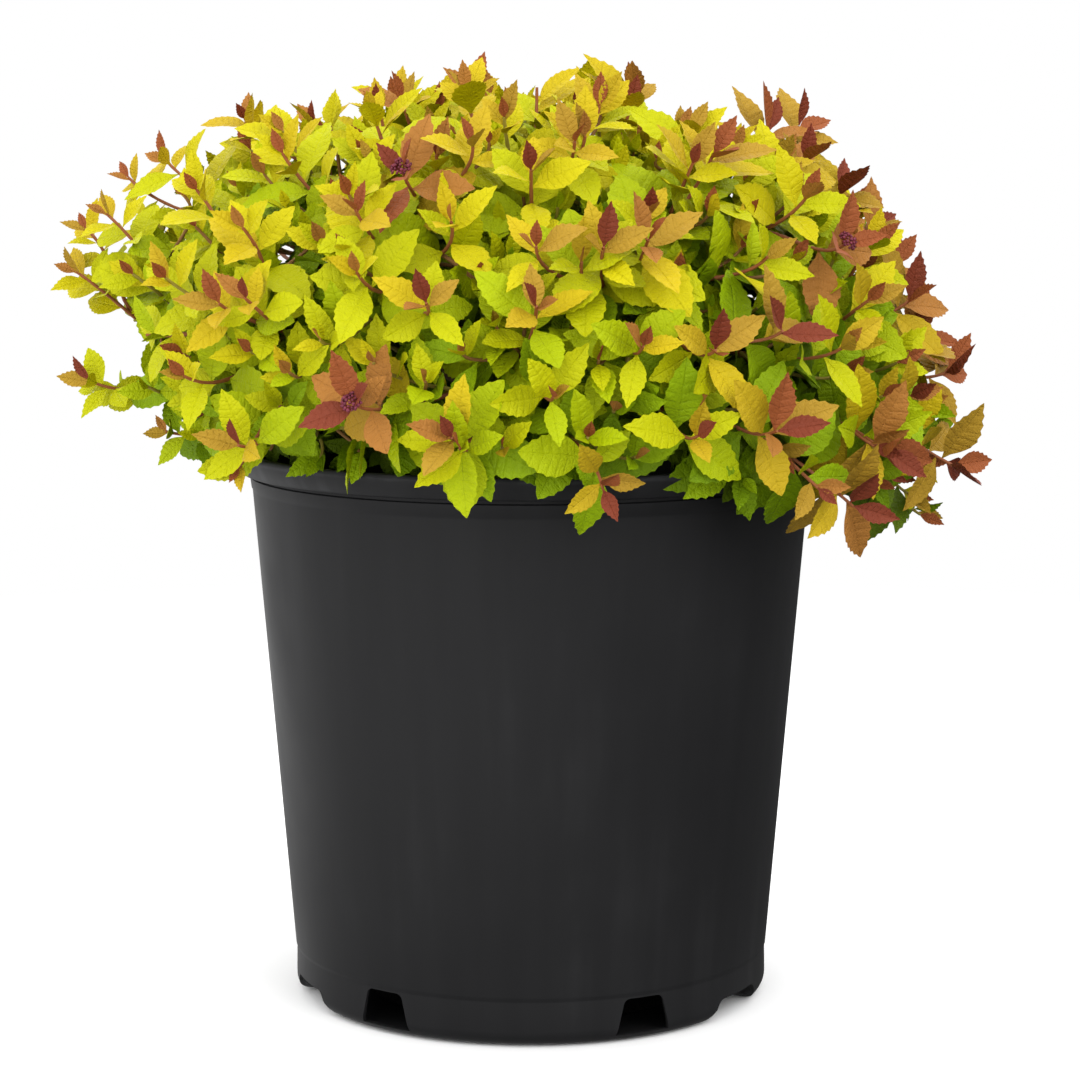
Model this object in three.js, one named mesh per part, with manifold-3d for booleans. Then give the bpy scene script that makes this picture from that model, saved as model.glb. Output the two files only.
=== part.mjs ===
// A spirea shrub in its black nursery pot.
//
// Millimetres, +Z up. The origin is the centre of the pot's flat underside, +X is the plant's right,
// -Y its front. The group holds the pot, the potting mix, the short main stem, and for each bough
// one limb and one mass of foliage. Every piece is a closed solid that keeps a small gap to the next.
import * as THREE from "three";
import { mergeVertices } from "three/addons/utils/BufferGeometryUtils.js";
import Module from "manifold-3d";

const wasm = await Module();
wasm.setup();

// ---------------------------------------------------------------- driving dimensions

const GAP = 0.3; // clearance between two pieces that meet
const POT_ROOM = 1.5; // clearance that leaves and twigs keep to the rim
const SLIVER = 0.02; // edges shorter than this are closed up after a join
const GRID = 0.001; // corners of a join are set on this grid
const ROUND = 40; // sides of the pot and of the mix in it
const TURN = Math.PI * 2;
const GOLDEN = Math.PI * (3 - Math.sqrt(5)); // the turn from one leaf, or one shoot, to the next
const UP = new THREE.Vector3(0, 0, 1);

const POT = {
  height: 233.4,
  wall: 1.6,
  floor: 1.8,
  footRadius: 95, // of the flat underside
  footCorner: 6.5, // radius of the rounded edge under the wall
  stepHeight: 20, // where the straight foot passes into the sloping wall
  stepRadius: 101.8,
  neckRadius: 118.7, // the wall's outside, close under the rim
  rimBand: 9.5, // height of the rim
  rimFootRadius: 123.5, // the rim's lower edge
  rimRadius: 127, // the rim's widest ring
  rimRound: 1.8, // rounding of its top edge
};

// Drain holes: windows through the foot's corner, in two mirrored sets of four.
const DRAIN = {
  offsets: [31.6, 66], // degrees to each side of the set's middle
  heading: -4.5, // degrees from the front to the middle of the first set
  innerRadius: 89, // how far in the floor is cut away
  depth: 20,
  lowerWidth: 25,
  upperWidth: 17.5,
  height: 18,
};

// The surface of the mix is level where the stem stands and falls away to the wall.
const MIX = { level: 212, standRadius: 22, slopeRadius: 60, slopeDrop: 0.6, edgeDrop: 3 };

const STEM = {
  forkHeight: 238, // centre of the knob that the boughs leave
  knob: 15, // its radius
  waist: 10.5,
  flare: 19, // radius of the root flare at the mix
  flareHeight: 7,
  sides: 16,
  flutes: 5,
  fluteDepth: 0.1, // share of the radius, at the flare
  lean: [-5, 3], // how far the foot stands off the fork's axis, in X and Y
};

const CROWN = {
  radius: 188, // mean reach of the leaf tips, sideways
  oval: 8, // wider left to right than front to back
  leftward: 8.5,
  backward: 5,
  height: 161, // reach of the leaf tips above the fork
  squareness: 2.5, // power of the flattened dome: 2 would be an ellipsoid
  unevenness: 0.05, // seeded share by which a shoot may stop short
};

// Where the dome swells or sinks: azimuth and elevation in degrees, share gained, spread in degrees.
const SWELLS = [
  { azimuth: 180, elevation: 26, gain: 0.05, spread: 24 },
  { azimuth: 0, elevation: 63, gain: -0.06, spread: 18 },
  { azimuth: 0, elevation: 33, gain: -0.05, spread: 18 },
  { azimuth: 60, elevation: 25, gain: 0.04, spread: 25 },
  { azimuth: 130, elevation: 45, gain: -0.04, spread: 22 },
];

// Leading shoots, which stand out of the dome or droop over the rim: azimuth, elevation, share of reach.
const LEADERS = [
  [-158, 80, 1.0],
  [0, 73, 1.02],
  [-2, 52, 1.03],
  [-12, 45, 1.0],
  [180, 55, 1.0],
  [178, 37, 1.0],
  [-173, 28, 1.0],
  [-178, 20, 1.03],
  [-168, 8, 1.0],
  [-165, 2, 0.88],
  [2, 31, 1.0],
  [-7, 20, 0.98],
  [-4, 9, 1.02],
  [-12, -3, 1.04],
  [-22, -13, 0.93],
  [-113, 9, 1.0],
  [-89, 22, 1.0],
  [-130, 21, 1.0],
  [-80, -2, 0.98],
  [-64, 16, 1.0],
  [-55, 5, 1.0],
];

const SHOOTS = {
  count: 110, // shoots spread evenly, before those too near a leading shoot are left out
  leaderRoom: 9, // degrees that a leading shoot keeps to itself
  tipLeaf: 32, // the twig ends this far inside the reach, and its last leaves make it up
  seed: 4117,
};

// The lowest shoots: elevation in degrees, by the side that they hang on.
const SKIRT = { right: -12, back: -7, left: 1, front: 1 };

const BOUGH = {
  count: 18,
  lowest: 8, // degrees above level
  share: 0.4, // of the crown's reach, where the bough ends and its mass begins
  droop: 5, // degrees between its start and its end
  baseRadius: 2.2,
  tipRadius: 1.6,
  sides: 5,
  steps: 4,
};

const TWIG = {
  sides: 3,
  stemRadius: 1.7,
  stemSteps: 4,
  radius: 1.4,
  tipRadius: 0.9,
  steps: 3,
  forks: [0.08, 0.5], // where on the mass's stem the outermost and the innermost twigs branch off
  lift: 0.3, // how much a shoot's tip turns up, as a share of its heading
  hang: 0.9, // and how much one turns down over the rim
};

const LEAF = {
  perShoot: 5,
  longest: 52,
  shortest: 40,
  slimness: 0.6, // width over length
  skyward: 0.35, // how much its upper face looks up, beside outwards
  thick: 1.5, // at the root, thinning to the edge
  sink: 0.2, // past the twig's axis
  swing: 40, // degrees that a leaf may stand off the middle of its twig's side
  lowest: 0.38, // share of its shoot where the lowest leaf stands
  opening: [20, 62], // degrees between the leaf and its shoot, at the tip and lower down
  openingPlay: 8, // seeded degrees on top of that
  sizePlay: 0.1, // seeded share by which a leaf is longer or shorter
  widest: 0.45, // where it is widest, as a share of its length
  thickest: 0.28, // and where it is thickest
  fold: 0.12, // how far the edges rise, as a share of the width
  curl: 0.1, // how far the tip falls, as a share of the length
  crowding: 1.2, // 1 spaces the leaves evenly along the shoot, more draws them to its tip
  tries: 14,
  shrink: 0.03, // share of its length that a leaf loses with each try
  seed: 90210,
};

const COLOURS = {
  pot: { color: 0x2c2c2e, roughness: 0.5, metalness: 0 },
  mix: { color: 0x3a2a1d, roughness: 1, metalness: 0 },
  bark: { color: 0x6b4630, roughness: 0.85, metalness: 0 },
  leaves: { color: 0xb4c22e, roughness: 0.6, metalness: 0 },
};

// ---------------------------------------------------------------- helpers

const radians = THREE.MathUtils.degToRad;

// A seeded stream of numbers from 0 to 1.
function randomStream(seed) {
  let state = seed >>> 0;
  return () => {
    state = (state + 0x6d2b79f5) >>> 0;
    let mixed = Math.imul(state ^ (state >>> 15), state | 1);
    mixed ^= mixed + Math.imul(mixed ^ (mixed >>> 7), mixed | 61);
    return ((mixed ^ (mixed >>> 14)) >>> 0) / 4294967296;
  };
}

// A direction from the fork, by azimuth round +Z and elevation above level.
function direction(azimuth, elevation) {
  return new THREE.Vector3(
    Math.cos(elevation) * Math.cos(azimuth),
    Math.cos(elevation) * Math.sin(azimuth),
    Math.sin(elevation),
  );
}

// A geometry's closed surface as a solid, and a solid back as a geometry.
function solidOf(geometry) {
  geometry.deleteAttribute("normal");
  geometry.deleteAttribute("uv");
  const merged = mergeVertices(geometry);
  const vertProperties = merged.getAttribute("position").array;
  const triVerts = new Uint32Array(merged.index.array);
  return new wasm.Manifold(new wasm.Mesh({ numProp: 3, vertProperties, triVerts }));
}

function geometryOf(solid) {
  const { vertProperties, triVerts } = solid.getMesh();
  const geometry = new THREE.BufferGeometry();
  geometry.setAttribute("position", new THREE.BufferAttribute(vertProperties, 3));
  geometry.setIndex(new THREE.BufferAttribute(triVerts, 1));
  geometry.computeVertexNormals();
  return geometry;
}

// A joined solid with its corners on the grid, or null where two stretches of its surface then meet
// along one edge.
function griddedGeometry(solid) {
  const geometry = geometryOf(solid);
  geometry.deleteAttribute("normal");
  const values = geometry.getAttribute("position").array;
  values.forEach((value, i) => (values[i] = Math.round(value / GRID) * GRID));
  const merged = mergeVertices(geometry, GRID / 2);
  const corners = merged.index.array;
  const faces = [];
  const uses = new Map();
  for (let i = 0; i < corners.length; i += 3) {
    const face = corners.slice(i, i + 3);
    if (new Set(face).size < 3) continue;
    faces.push(...face);
    face.forEach((corner, side) => {
      const edge = [corner, face[(side + 1) % 3]].sort().join();
      uses.set(edge, (uses.get(edge) ?? 0) + 1);
    });
  }
  merged.setIndex(faces);
  merged.computeVertexNormals();
  return [...uses.values()].every((count) => count === 2) ? merged : null;
}

// A closed profile of [radius, height] pairs turned round +Z.
function turned(profile, sides) {
  const points = profile.map(([radius, height]) => new THREE.Vector2(radius, height));
  return new THREE.LatheGeometry(points, sides).rotateX(Math.PI / 2);
}

// Points on an arc of a profile, ends included: angles in degrees from the outward direction.
function arc(centre, radius, from, to, steps) {
  return Array.from({ length: steps + 1 }, (_, i) => {
    const angle = radians(from + ((to - from) * i) / steps);
    return [centre[0] + radius * Math.cos(angle), centre[1] + radius * Math.sin(angle)];
  });
}

// A tapering limb with flat ends along a curve.
function limb(curve, baseRadius, tipRadius, sides, steps) {
  const geometry = new THREE.CylinderGeometry(tipRadius, baseRadius, 1, sides, steps);
  const { normals, binormals } = curve.computeFrenetFrames(steps);
  const place = geometry.getAttribute("position");
  for (let i = 0; i < place.count; i++) {
    const step = Math.round((place.getY(i) + 0.5) * steps);
    const point = curve.getPointAt(step / steps);
    point.addScaledVector(binormals[step], place.getX(i));
    point.addScaledVector(normals[step], place.getZ(i));
    place.setXYZ(i, point.x, point.y, point.z);
  }
  return geometry;
}

// The point on a limb's axis, which runs straight from step to step, its heading there, and the
// direction that leaves it square through the middle of one of its sides.
function onLimb(curve, sides, steps, share, side) {
  const step = Math.min(Math.floor(share * steps), steps - 1);
  const from = curve.getPointAt(step / steps);
  const to = curve.getPointAt((step + 1) / steps);
  const { normals, binormals } = curve.computeFrenetFrames(steps);
  const angle = (TURN * (side + 0.5)) / sides;
  const square = normals[step].clone().multiplyScalar(Math.cos(angle));
  square.addScaledVector(binormals[step], Math.sin(angle));
  const point = from.clone().lerp(to, share * steps - step);
  return { point, tangent: to.sub(from).normalize(), square };
}

function mesh(name, geometry, finish) {
  const made = new THREE.Mesh(geometry, new THREE.MeshStandardMaterial(finish));
  made.name = name;
  return made;
}

// ---------------------------------------------------------------- pot and potting mix

const rimBase = POT.height - POT.rimBand;
const cornerCentre = [POT.footRadius, POT.footCorner];

// The inside of the pot, from the floor's centre up to the top edge, drawn in by a clearance.
function insideProfile(clearance) {
  const inset = POT.wall + clearance;
  return [
    [0, POT.floor + clearance],
    ...arc(cornerCentre, POT.footCorner - inset, -90, 0, 2),
    [POT.stepRadius - inset, POT.stepHeight],
    [POT.neckRadius - inset, rimBase],
  ];
}

function pot() {
  const rimTop = POT.height - POT.rimRound;
  const roundCentre = [POT.rimRadius - POT.rimRound, rimTop];
  const profile = [
    [0, 0],
    ...arc(cornerCentre, POT.footCorner, -90, 0, 3),
    [POT.stepRadius, POT.stepHeight],
    [POT.neckRadius, rimBase],
    [POT.rimFootRadius, rimBase + GAP],
    ...arc(roundCentre, POT.rimRound, 0, 90, 2),
    [POT.neckRadius + POT.wall, POT.height],
    ...insideProfile(0).reverse(),
  ];
  let shell = solidOf(turned(profile, ROUND));
  for (const angle of drainAngles()) shell = shell.subtract(solidOf(drainCutter(angle)));
  return mesh("pot", geometryOf(shell), COLOURS.pot);
}

// Degrees from the front, positive towards +X, for the front set and the set behind it.
function drainAngles() {
  const half = DRAIN.offsets.flatMap((offset) => [-offset, offset]);
  return [0, 180].flatMap((side) => half.map((offset) => side + DRAIN.heading + offset));
}

function drainCutter(angle) {
  const outline = new THREE.Shape();
  outline.moveTo(-DRAIN.lowerWidth / 2, -1);
  outline.lineTo(DRAIN.lowerWidth / 2, -1);
  outline.lineTo(DRAIN.upperWidth / 2, DRAIN.height);
  outline.lineTo(-DRAIN.upperWidth / 2, DRAIN.height);
  const cutter = new THREE.ExtrudeGeometry(outline, { depth: DRAIN.depth, bevelEnabled: false });
  return cutter.translate(0, 0, DRAIN.innerRadius).rotateX(Math.PI / 2).rotateZ(radians(angle));
}

function pottingMix() {
  const inside = insideProfile(GAP);
  const [low, high] = inside.slice(-2);
  const edge = MIX.level - MIX.edgeDrop;
  const share = (edge - low[1]) / (high[1] - low[1]);
  const edgeRadius = THREE.MathUtils.lerp(low[0], high[0], share);
  const profile = [
    ...inside.slice(0, -1),
    [edgeRadius, edge],
    [MIX.slopeRadius, MIX.level - MIX.slopeDrop],
    [MIX.standRadius, MIX.level],
    [0, MIX.level],
  ];
  return mesh("potting_mix", turned(profile, ROUND), COLOURS.mix);
}

// ---------------------------------------------------------------- main stem

const fork = new THREE.Vector3(0, 0, STEM.forkHeight);

// A fluted root flare from a flat cut, a waist, and the knob that the boughs leave.
function mainStem() {
  const foot = MIX.level + GAP;
  const centre = [0, STEM.forkHeight];
  const knob = arc(centre, STEM.knob, -50, 90, 6);
  const profile = [
    [0, foot],
    [STEM.flare, foot],
    [(STEM.flare + STEM.waist) / 2, foot + STEM.flareHeight / 3],
    [STEM.waist, foot + STEM.flareHeight],
    ...knob,
  ];
  const waistHeight = knob[0][1];
  const geometry = turned(profile, STEM.sides);
  const place = geometry.getAttribute("position");
  for (let i = 0; i < place.count; i++) {
    const depth = THREE.MathUtils.clamp((waistHeight - place.getZ(i)) / (waistHeight - foot), 0, 1);
    const angle = Math.atan2(place.getY(i), place.getX(i));
    const flute = 1 + STEM.fluteDepth * depth * Math.cos(STEM.flutes * angle);
    const x = place.getX(i) * flute + STEM.lean[0] * depth;
    const y = place.getY(i) * flute + STEM.lean[1] * depth;
    place.setXY(i, x, y);
  }
  return mesh("main_stem", geometry, COLOURS.bark);
}

// ---------------------------------------------------------------- plan of the crown

// How far leaf tips reach from the fork in a direction.
function reach(aim) {
  const azimuth = Math.atan2(aim.y, aim.x);
  const elevation = Math.asin(aim.z);
  const { radius, oval, leftward, backward, height, squareness } = CROWN;
  const side =
    radius +
    oval * Math.cos(2 * azimuth) -
    leftward * Math.cos(azimuth) +
    backward * Math.sin(azimuth);
  const sideways = Math.abs(Math.cos(elevation) / side) ** squareness;
  const upward = Math.abs(Math.sin(elevation) / height) ** squareness;
  let gain = 1;
  for (const swell of SWELLS) {
    const middle = direction(radians(swell.azimuth), radians(swell.elevation));
    const apart = middle.angleTo(aim) / radians(swell.spread);
    gain += swell.gain * Math.exp(-apart * apart);
  }
  return gain * (sideways + upward) ** (-1 / squareness);
}

// The lowest elevation that shoots hang to on a side, in radians.
function skirt(azimuth) {
  const toRight = 0.5 + 0.5 * Math.cos(azimuth);
  const toBack = 0.5 + 0.5 * Math.sin(azimuth);
  const across = SKIRT.left + (SKIRT.right - SKIRT.left) * toRight;
  const along = SKIRT.front + (SKIRT.back - SKIRT.front) * toBack;
  const sidewards = Math.cos(azimuth) ** 2;
  return radians(across * sidewards + along * (1 - sidewards));
}

// Evenly spread directions, from overhead down to the lowest elevation on each side.
function spread(count, lowest) {
  return Array.from({ length: count }, (_, k) => {
    const azimuth = k * GOLDEN;
    const floor = Math.sin(lowest(azimuth));
    return direction(azimuth, Math.asin(1 - ((1 - floor) * (k + 0.5)) / count));
  });
}

// Every shoot: its aim from the fork and how far its leaf tips get.
function planShoots() {
  const random = randomStream(SHOOTS.seed);
  const shoots = LEADERS.map(([azimuth, elevation, share]) => {
    const aim = direction(radians(azimuth), radians(elevation));
    return { aim, length: share * reach(aim) };
  });
  const room = Math.cos(radians(SHOOTS.leaderRoom));
  for (const aim of spread(SHOOTS.count, skirt)) {
    const length = reach(aim) * (1 - CROWN.unevenness * random());
    const crowded = shoots.slice(0, LEADERS.length).some((leader) => leader.aim.dot(aim) > room);
    if (!crowded) shoots.push({ aim, length });
  }
  return shoots;
}

// Every bough: the axis of its cell, its curve, and the shoots that are nearest to it.
function planBoughs(shoots) {
  const axes = spread(BOUGH.count, () => radians(BOUGH.lowest));
  const boughs = axes.map((axis) => ({ axis, curve: boughCurve(axis), shoots: [] }));
  for (const shoot of shoots) {
    const nearest = boughs.reduce((a, b) => (b.axis.dot(shoot.aim) > a.axis.dot(shoot.aim) ? b : a));
    nearest.shoots.push(shoot);
  }
  return boughs;
}

// The aim turned upwards by an angle, or downwards by a negative one.
function tilted(aim, angle) {
  const azimuth = Math.atan2(aim.y, aim.x);
  const elevation = Math.min(Math.asin(aim.z) + angle, Math.PI / 2);
  return direction(azimuth, elevation);
}

// A bough leaves the knob square to it, a little steeper than its cell's axis, and arches over.
function boughCurve(axis) {
  const start = tilted(axis, radians(BOUGH.droop));
  const from = fork.clone().addScaledVector(start, STEM.knob + GAP);
  const to = fork.clone().addScaledVector(axis, BOUGH.share * reach(axis));
  const third = from.distanceTo(to) / 3;
  const end = tilted(axis, -radians(BOUGH.droop));
  return new THREE.CubicBezierCurve3(
    from,
    from.clone().addScaledVector(start, third),
    to.clone().addScaledVector(end, -third),
    to,
  );
}

// ---------------------------------------------------------------- foliage

// A twig's curve from a point, first along one heading and at last along another.
function twigCurve(from, heading, to, arrival) {
  const third = from.distanceTo(to) / 3;
  return new THREE.CubicBezierCurve3(
    from,
    from.clone().addScaledVector(heading, third),
    to.clone().addScaledVector(arrival, -third),
    to,
  );
}

// Shoots above level turn up to the light at their tips, and the others bend down over the rim.
function arrivalOf(aim) {
  return aim.clone().addScaledVector(UP, hangs(aim) ? -TWIG.hang : TWIG.lift).normalize();
}

function hangs(aim) {
  return aim.z < Math.sin(radians(BOUGH.lowest) / 2);
}

function shootEnd(shoot) {
  return fork.clone().addScaledVector(shoot.aim, shoot.length - SHOOTS.tipLeaf);
}

// The stem goes on from the bough to its innermost shoot, and the other shoots branch from it. A
// shoot that hangs is never the stem.
function twigCurves(bough) {
  const rank = (shoot) => bough.axis.dot(shoot.aim) - (hangs(shoot.aim) ? 1 : 0);
  const bySide = [...bough.shoots].sort((a, b) => rank(b) - rank(a));
  const heading = bough.curve.getTangent(1);
  const from = bough.curve.getPoint(1).addScaledVector(heading, GAP);
  const stem = twigCurve(from, heading, shootEnd(bySide[0]), arrivalOf(bySide[0].aim));
  const twigs = bySide.slice(1).map((shoot, i, rest) => {
    const at = THREE.MathUtils.lerp(TWIG.forks[1], TWIG.forks[0], i / Math.max(1, rest.length - 1));
    const { point, tangent } = onLimb(stem, TWIG.sides, TWIG.stemSteps, at, 0);
    const end = shootEnd(shoot);
    const off = end.clone().sub(point).normalize().add(tangent).normalize();
    return twigCurve(point, off, end, arrivalOf(shoot.aim));
  });
  return [stem, ...twigs];
}

// The space that the filled pot keeps, with some clearance all round.
function potSpace() {
  const top = POT.height + POT_ROOM;
  const side = POT.rimRadius + POT_ROOM;
  const profile = [
    [0, 0],
    [POT.stepRadius, 0],
    [side, rimBase - POT.rimBand],
    [side, top],
    [0, top],
  ];
  return pieceOf(turned(profile, ROUND));
}

// The space of a mass: within its cell and beyond its bough's end.
function spaceOf(bough, boughs) {
  const walls = boughs
    .filter((other) => other !== bough)
    .map((other) => {
      const normal = bough.axis.clone().sub(other.axis).normalize();
      return new THREE.Plane().setFromNormalAndCoplanarPoint(normal, fork);
    });
  const heading = bough.curve.getTangent(1);
  const end = new THREE.Plane().setFromNormalAndCoplanarPoint(heading, bough.curve.getPoint(1));
  return (points) =>
    points.every((point) => {
      if (end.distanceToPoint(point) < GAP - GRID) return false;
      return walls.every((wall) => wall.distanceToPoint(point) > GAP);
    });
}

function pointsOf(geometry) {
  const place = geometry.getAttribute("position");
  const point = (_, i) => new THREE.Vector3().fromBufferAttribute(place, i);
  return Array.from({ length: place.count }, point);
}

// A blade of eight faces along +X, folded upwards along its midrib, its root past the origin.
function leafGeometry(length) {
  const geometry = new THREE.OctahedronGeometry(1);
  const width = length * LEAF.slimness;
  const place = geometry.getAttribute("position");
  for (let i = 0; i < place.count; i++) {
    const [end, side, face] = [place.getX(i), place.getY(i), place.getZ(i)].map(Math.round);
    let along = length * (side ? LEAF.widest : LEAF.thickest);
    let rise = side ? LEAF.fold * width : (face * LEAF.thick) / 2;
    if (end < 0) along = -LEAF.sink;
    if (end > 0) [along, rise] = [length, -LEAF.curl * length];
    place.setXYZ(i, along, (side * width) / 2, rise);
  }
  return geometry;
}

// A leaf on a twig: it opens to one side and shows its upper face to the light.
function leafAt(point, tangent, aside, open, length) {
  const aim = tangent.clone().multiplyScalar(Math.cos(open)).addScaledVector(aside, Math.sin(open));
  const light = tangent.clone().addScaledVector(UP, LEAF.skyward);
  const across = new THREE.Vector3().crossVectors(light, aim).normalize();
  const upper = new THREE.Vector3().crossVectors(aim, across);
  const pose = new THREE.Matrix4().makeBasis(aim, across, upper).setPosition(point);
  return leafGeometry(length).applyMatrix4(pose);
}

// The leaves of one shoot, closest at its tip. A leaf that finds no room is turned and shortened a
// little, and left out when that fails; it touches its own twig and nothing else.
function growLeaves(twig, others, isFree, random) {
  for (let j = 0; j < LEAF.perShoot; j++) {
    const down = j / (LEAF.perShoot - 1);
    const grown = Math.min(1, 2 * down);
    const at = 1 - (1 - LEAF.lowest) * down ** LEAF.crowding;
    const opening = THREE.MathUtils.lerp(...LEAF.opening, grown) + LEAF.openingPlay * random();
    const open = radians(opening);
    const size = 1 + LEAF.sizePlay * (2 * random() - 1);
    const length = size * THREE.MathUtils.lerp(LEAF.shortest, LEAF.longest, grown);
    const first = Math.floor(TWIG.sides * random());
    const swing = radians(LEAF.swing * (random() - 0.5));
    for (let k = 0; k < LEAF.tries; k++) {
      const { point, tangent, square } = onLimb(twig.curve, TWIG.sides, twig.steps, at, first + j + k);
      square.applyAxisAngle(tangent, swing);
      const leaf = leafAt(point, tangent, square, open, (1 - LEAF.shrink * k) * length);
      if (!isFree(pointsOf(leaf))) continue;
      const piece = pieceOf(leaf);
      if (others.some((other) => other !== twig && meets(piece, other))) continue;
      others.push(piece);
      break;
    }
  }
}

function pieceOf(geometry) {
  geometry.computeBoundingBox();
  return { box: geometry.boundingBox, solid: solidOf(geometry) };
}

function meets(a, b) {
  return a.box.intersectsBox(b.box) && !a.solid.intersect(b.solid).isEmpty();
}

function foliage(bough, boughs, obstacle, random) {
  const isFree = spaceOf(bough, boughs);
  const twigs = [];
  twigCurves(bough).forEach((curve, i) => {
    const radius = i ? TWIG.radius : TWIG.stemRadius;
    const steps = i ? TWIG.steps : TWIG.stemSteps;
    const geometry = limb(curve, radius, TWIG.tipRadius, TWIG.sides, steps);
    const twig = { curve, steps, ...pieceOf(geometry) };
    if (isFree(pointsOf(geometry)) && !meets(twig, obstacle)) twigs.push(twig);
  });
  const pieces = [obstacle, ...twigs];
  for (const twig of twigs) growLeaves(twig, pieces, isFree, random);
  return joinedGeometry(pieces.slice(1).map((piece) => piece.solid));
}

// All the solids as one body, without a loose scrap, and without the last leaves where the surface
// would touch itself.
function joinedGeometry(solids) {
  const bodies = wasm.Manifold.union(solids).simplify(SLIVER).decompose();
  const largest = bodies.reduce((a, b) => (b.volume() > a.volume() ? b : a));
  return griddedGeometry(largest) ?? joinedGeometry(solids.slice(0, -1));
}

// ---------------------------------------------------------------- assembly

const plant = new THREE.Group();
plant.name = "spirea_in_pot";
plant.add(pot(), pottingMix(), mainStem());

const boughs = planBoughs(planShoots());
const leafRandom = randomStream(LEAF.seed);
const obstacle = potSpace();
boughs.forEach((bough, i) => {
  const number = String(i + 1).padStart(2, "0");
  const { baseRadius, tipRadius, sides, steps } = BOUGH;
  const wood = limb(bough.curve, baseRadius, tipRadius, sides, steps);
  plant.add(mesh(`bough_${number}`, wood, COLOURS.bark));
  const mass = foliage(bough, boughs, obstacle, leafRandom);
  plant.add(mesh(`foliage_${number}`, mass, COLOURS.leaves));
});

export default plant;
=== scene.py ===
# %% [markdown]
# # A golden spirea in its nursery pot
#
# A small mounded shrub: lime leaves, bronze and red shoot tips, in a black moulded pot. The packed
# CAD model gives the frame. Every piece made here stands in that frame, in metres, and replaces the
# plain solid of the same part. Sizes are written in millimetres and scaled when a mesh is made.

import math

import bpy
import numpy as np
from mathutils import Matrix, Vector, noise


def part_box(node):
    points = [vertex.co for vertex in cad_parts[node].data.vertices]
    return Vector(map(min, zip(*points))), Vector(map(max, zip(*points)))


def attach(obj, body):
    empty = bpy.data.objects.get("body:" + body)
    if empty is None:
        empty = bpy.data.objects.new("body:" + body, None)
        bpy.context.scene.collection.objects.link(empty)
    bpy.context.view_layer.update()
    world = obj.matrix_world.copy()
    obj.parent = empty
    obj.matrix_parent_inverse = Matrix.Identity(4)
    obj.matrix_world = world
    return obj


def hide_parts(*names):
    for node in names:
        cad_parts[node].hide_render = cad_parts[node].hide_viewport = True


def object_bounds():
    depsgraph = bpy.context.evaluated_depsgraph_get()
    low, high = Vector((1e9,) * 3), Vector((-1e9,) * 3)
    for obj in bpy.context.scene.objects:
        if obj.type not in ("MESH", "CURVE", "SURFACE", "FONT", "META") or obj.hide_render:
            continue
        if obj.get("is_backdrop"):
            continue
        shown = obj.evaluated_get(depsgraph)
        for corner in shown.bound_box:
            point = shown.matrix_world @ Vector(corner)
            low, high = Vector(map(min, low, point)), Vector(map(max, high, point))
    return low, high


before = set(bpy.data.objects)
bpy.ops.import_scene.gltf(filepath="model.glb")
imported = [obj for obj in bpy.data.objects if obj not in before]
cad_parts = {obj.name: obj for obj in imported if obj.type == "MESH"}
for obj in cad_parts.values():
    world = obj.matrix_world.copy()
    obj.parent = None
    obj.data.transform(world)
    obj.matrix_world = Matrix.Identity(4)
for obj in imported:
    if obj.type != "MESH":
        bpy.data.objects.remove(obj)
CAD_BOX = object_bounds()  # the size that the dressed plant has to keep
MM = 0.001
TURN = 2 * math.pi
GOLDEN = math.pi * (3 - math.sqrt(5))  # the turn from one leaf, or one shoot, to the next
UP = np.array([0.0, 0.0, 1.0])
FRONT = np.array([0.0, -1.0, 0.0])
WHITE = (1, 1, 1, 1)


def show_box(name, box):
    print(name, "box, mm:", [[round(x / MM, 1) for x in corner] for corner in box])


show_box("CAD", CAD_BOX)


# %% [markdown]
# ## Small tools
#
# Vectors are numpy arrays, because leaves and twigs come by the thousand, and the random numbers come
# from the same seeded stream as in the source. A mesh is made from arrays of points and faces, or
# from bare points that carry attributes for Geometry Nodes to read.

# %% Vectors and random numbers
def unit(vector):
    return vector / np.linalg.norm(vector)


def mix(a, b, share):
    return a + (b - a) * share


def direction(azimuth, elevation):
    """A heading by azimuth round +Z and elevation above level, in radians."""
    level = math.cos(elevation)
    return np.array([level * math.cos(azimuth), level * math.sin(azimuth), math.sin(elevation)])


def aimed(azimuth, elevation):
    """The same in degrees."""
    return direction(math.radians(azimuth), math.radians(elevation))


def arc(centre, radius, start, end, steps):
    """Points of a profile on an arc, ends included; degrees from the outward direction."""
    angles = np.radians(np.linspace(start, end, steps + 1))
    return [[centre[0] + radius * math.cos(a), centre[1] + radius * math.sin(a)] for a in angles]


def random_stream(seed):
    """The seeded stream that the source draws from, number for number."""
    mask = 0xFFFFFFFF
    state = seed & mask

    def draw():
        nonlocal state
        state = (state + 0x6D2B79F5) & mask
        mixed = (state ^ (state >> 15)) * (state | 1) & mask
        mixed ^= (mixed + (mixed ^ (mixed >> 7)) * (mixed | 61)) & mask
        return (mixed ^ (mixed >> 14)) / (mask + 1)

    return draw


print("golden angle:", round(math.degrees(GOLDEN), 2), "degrees")


# %% Meshes
def link(obj):
    bpy.context.scene.collection.objects.link(obj)
    return obj


def triangles(obj):
    return sum(len(p.vertices) - 2 for p in obj.data.polygons)


def mesh_of(name, points, faces, smooth=True):
    """A mesh datablock from points in millimetres."""
    mesh = bpy.data.meshes.new(name)
    mesh.from_pydata((np.asarray(points) * MM).tolist(), [], [list(map(int, f)) for f in faces])
    mesh.validate()
    mesh.polygons.foreach_set("use_smooth", [smooth] * len(mesh.polygons))
    return mesh


def piece(name, points, faces, smooth=True):
    return link(bpy.data.objects.new(name, mesh_of(name, points, faces, smooth)))


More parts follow.
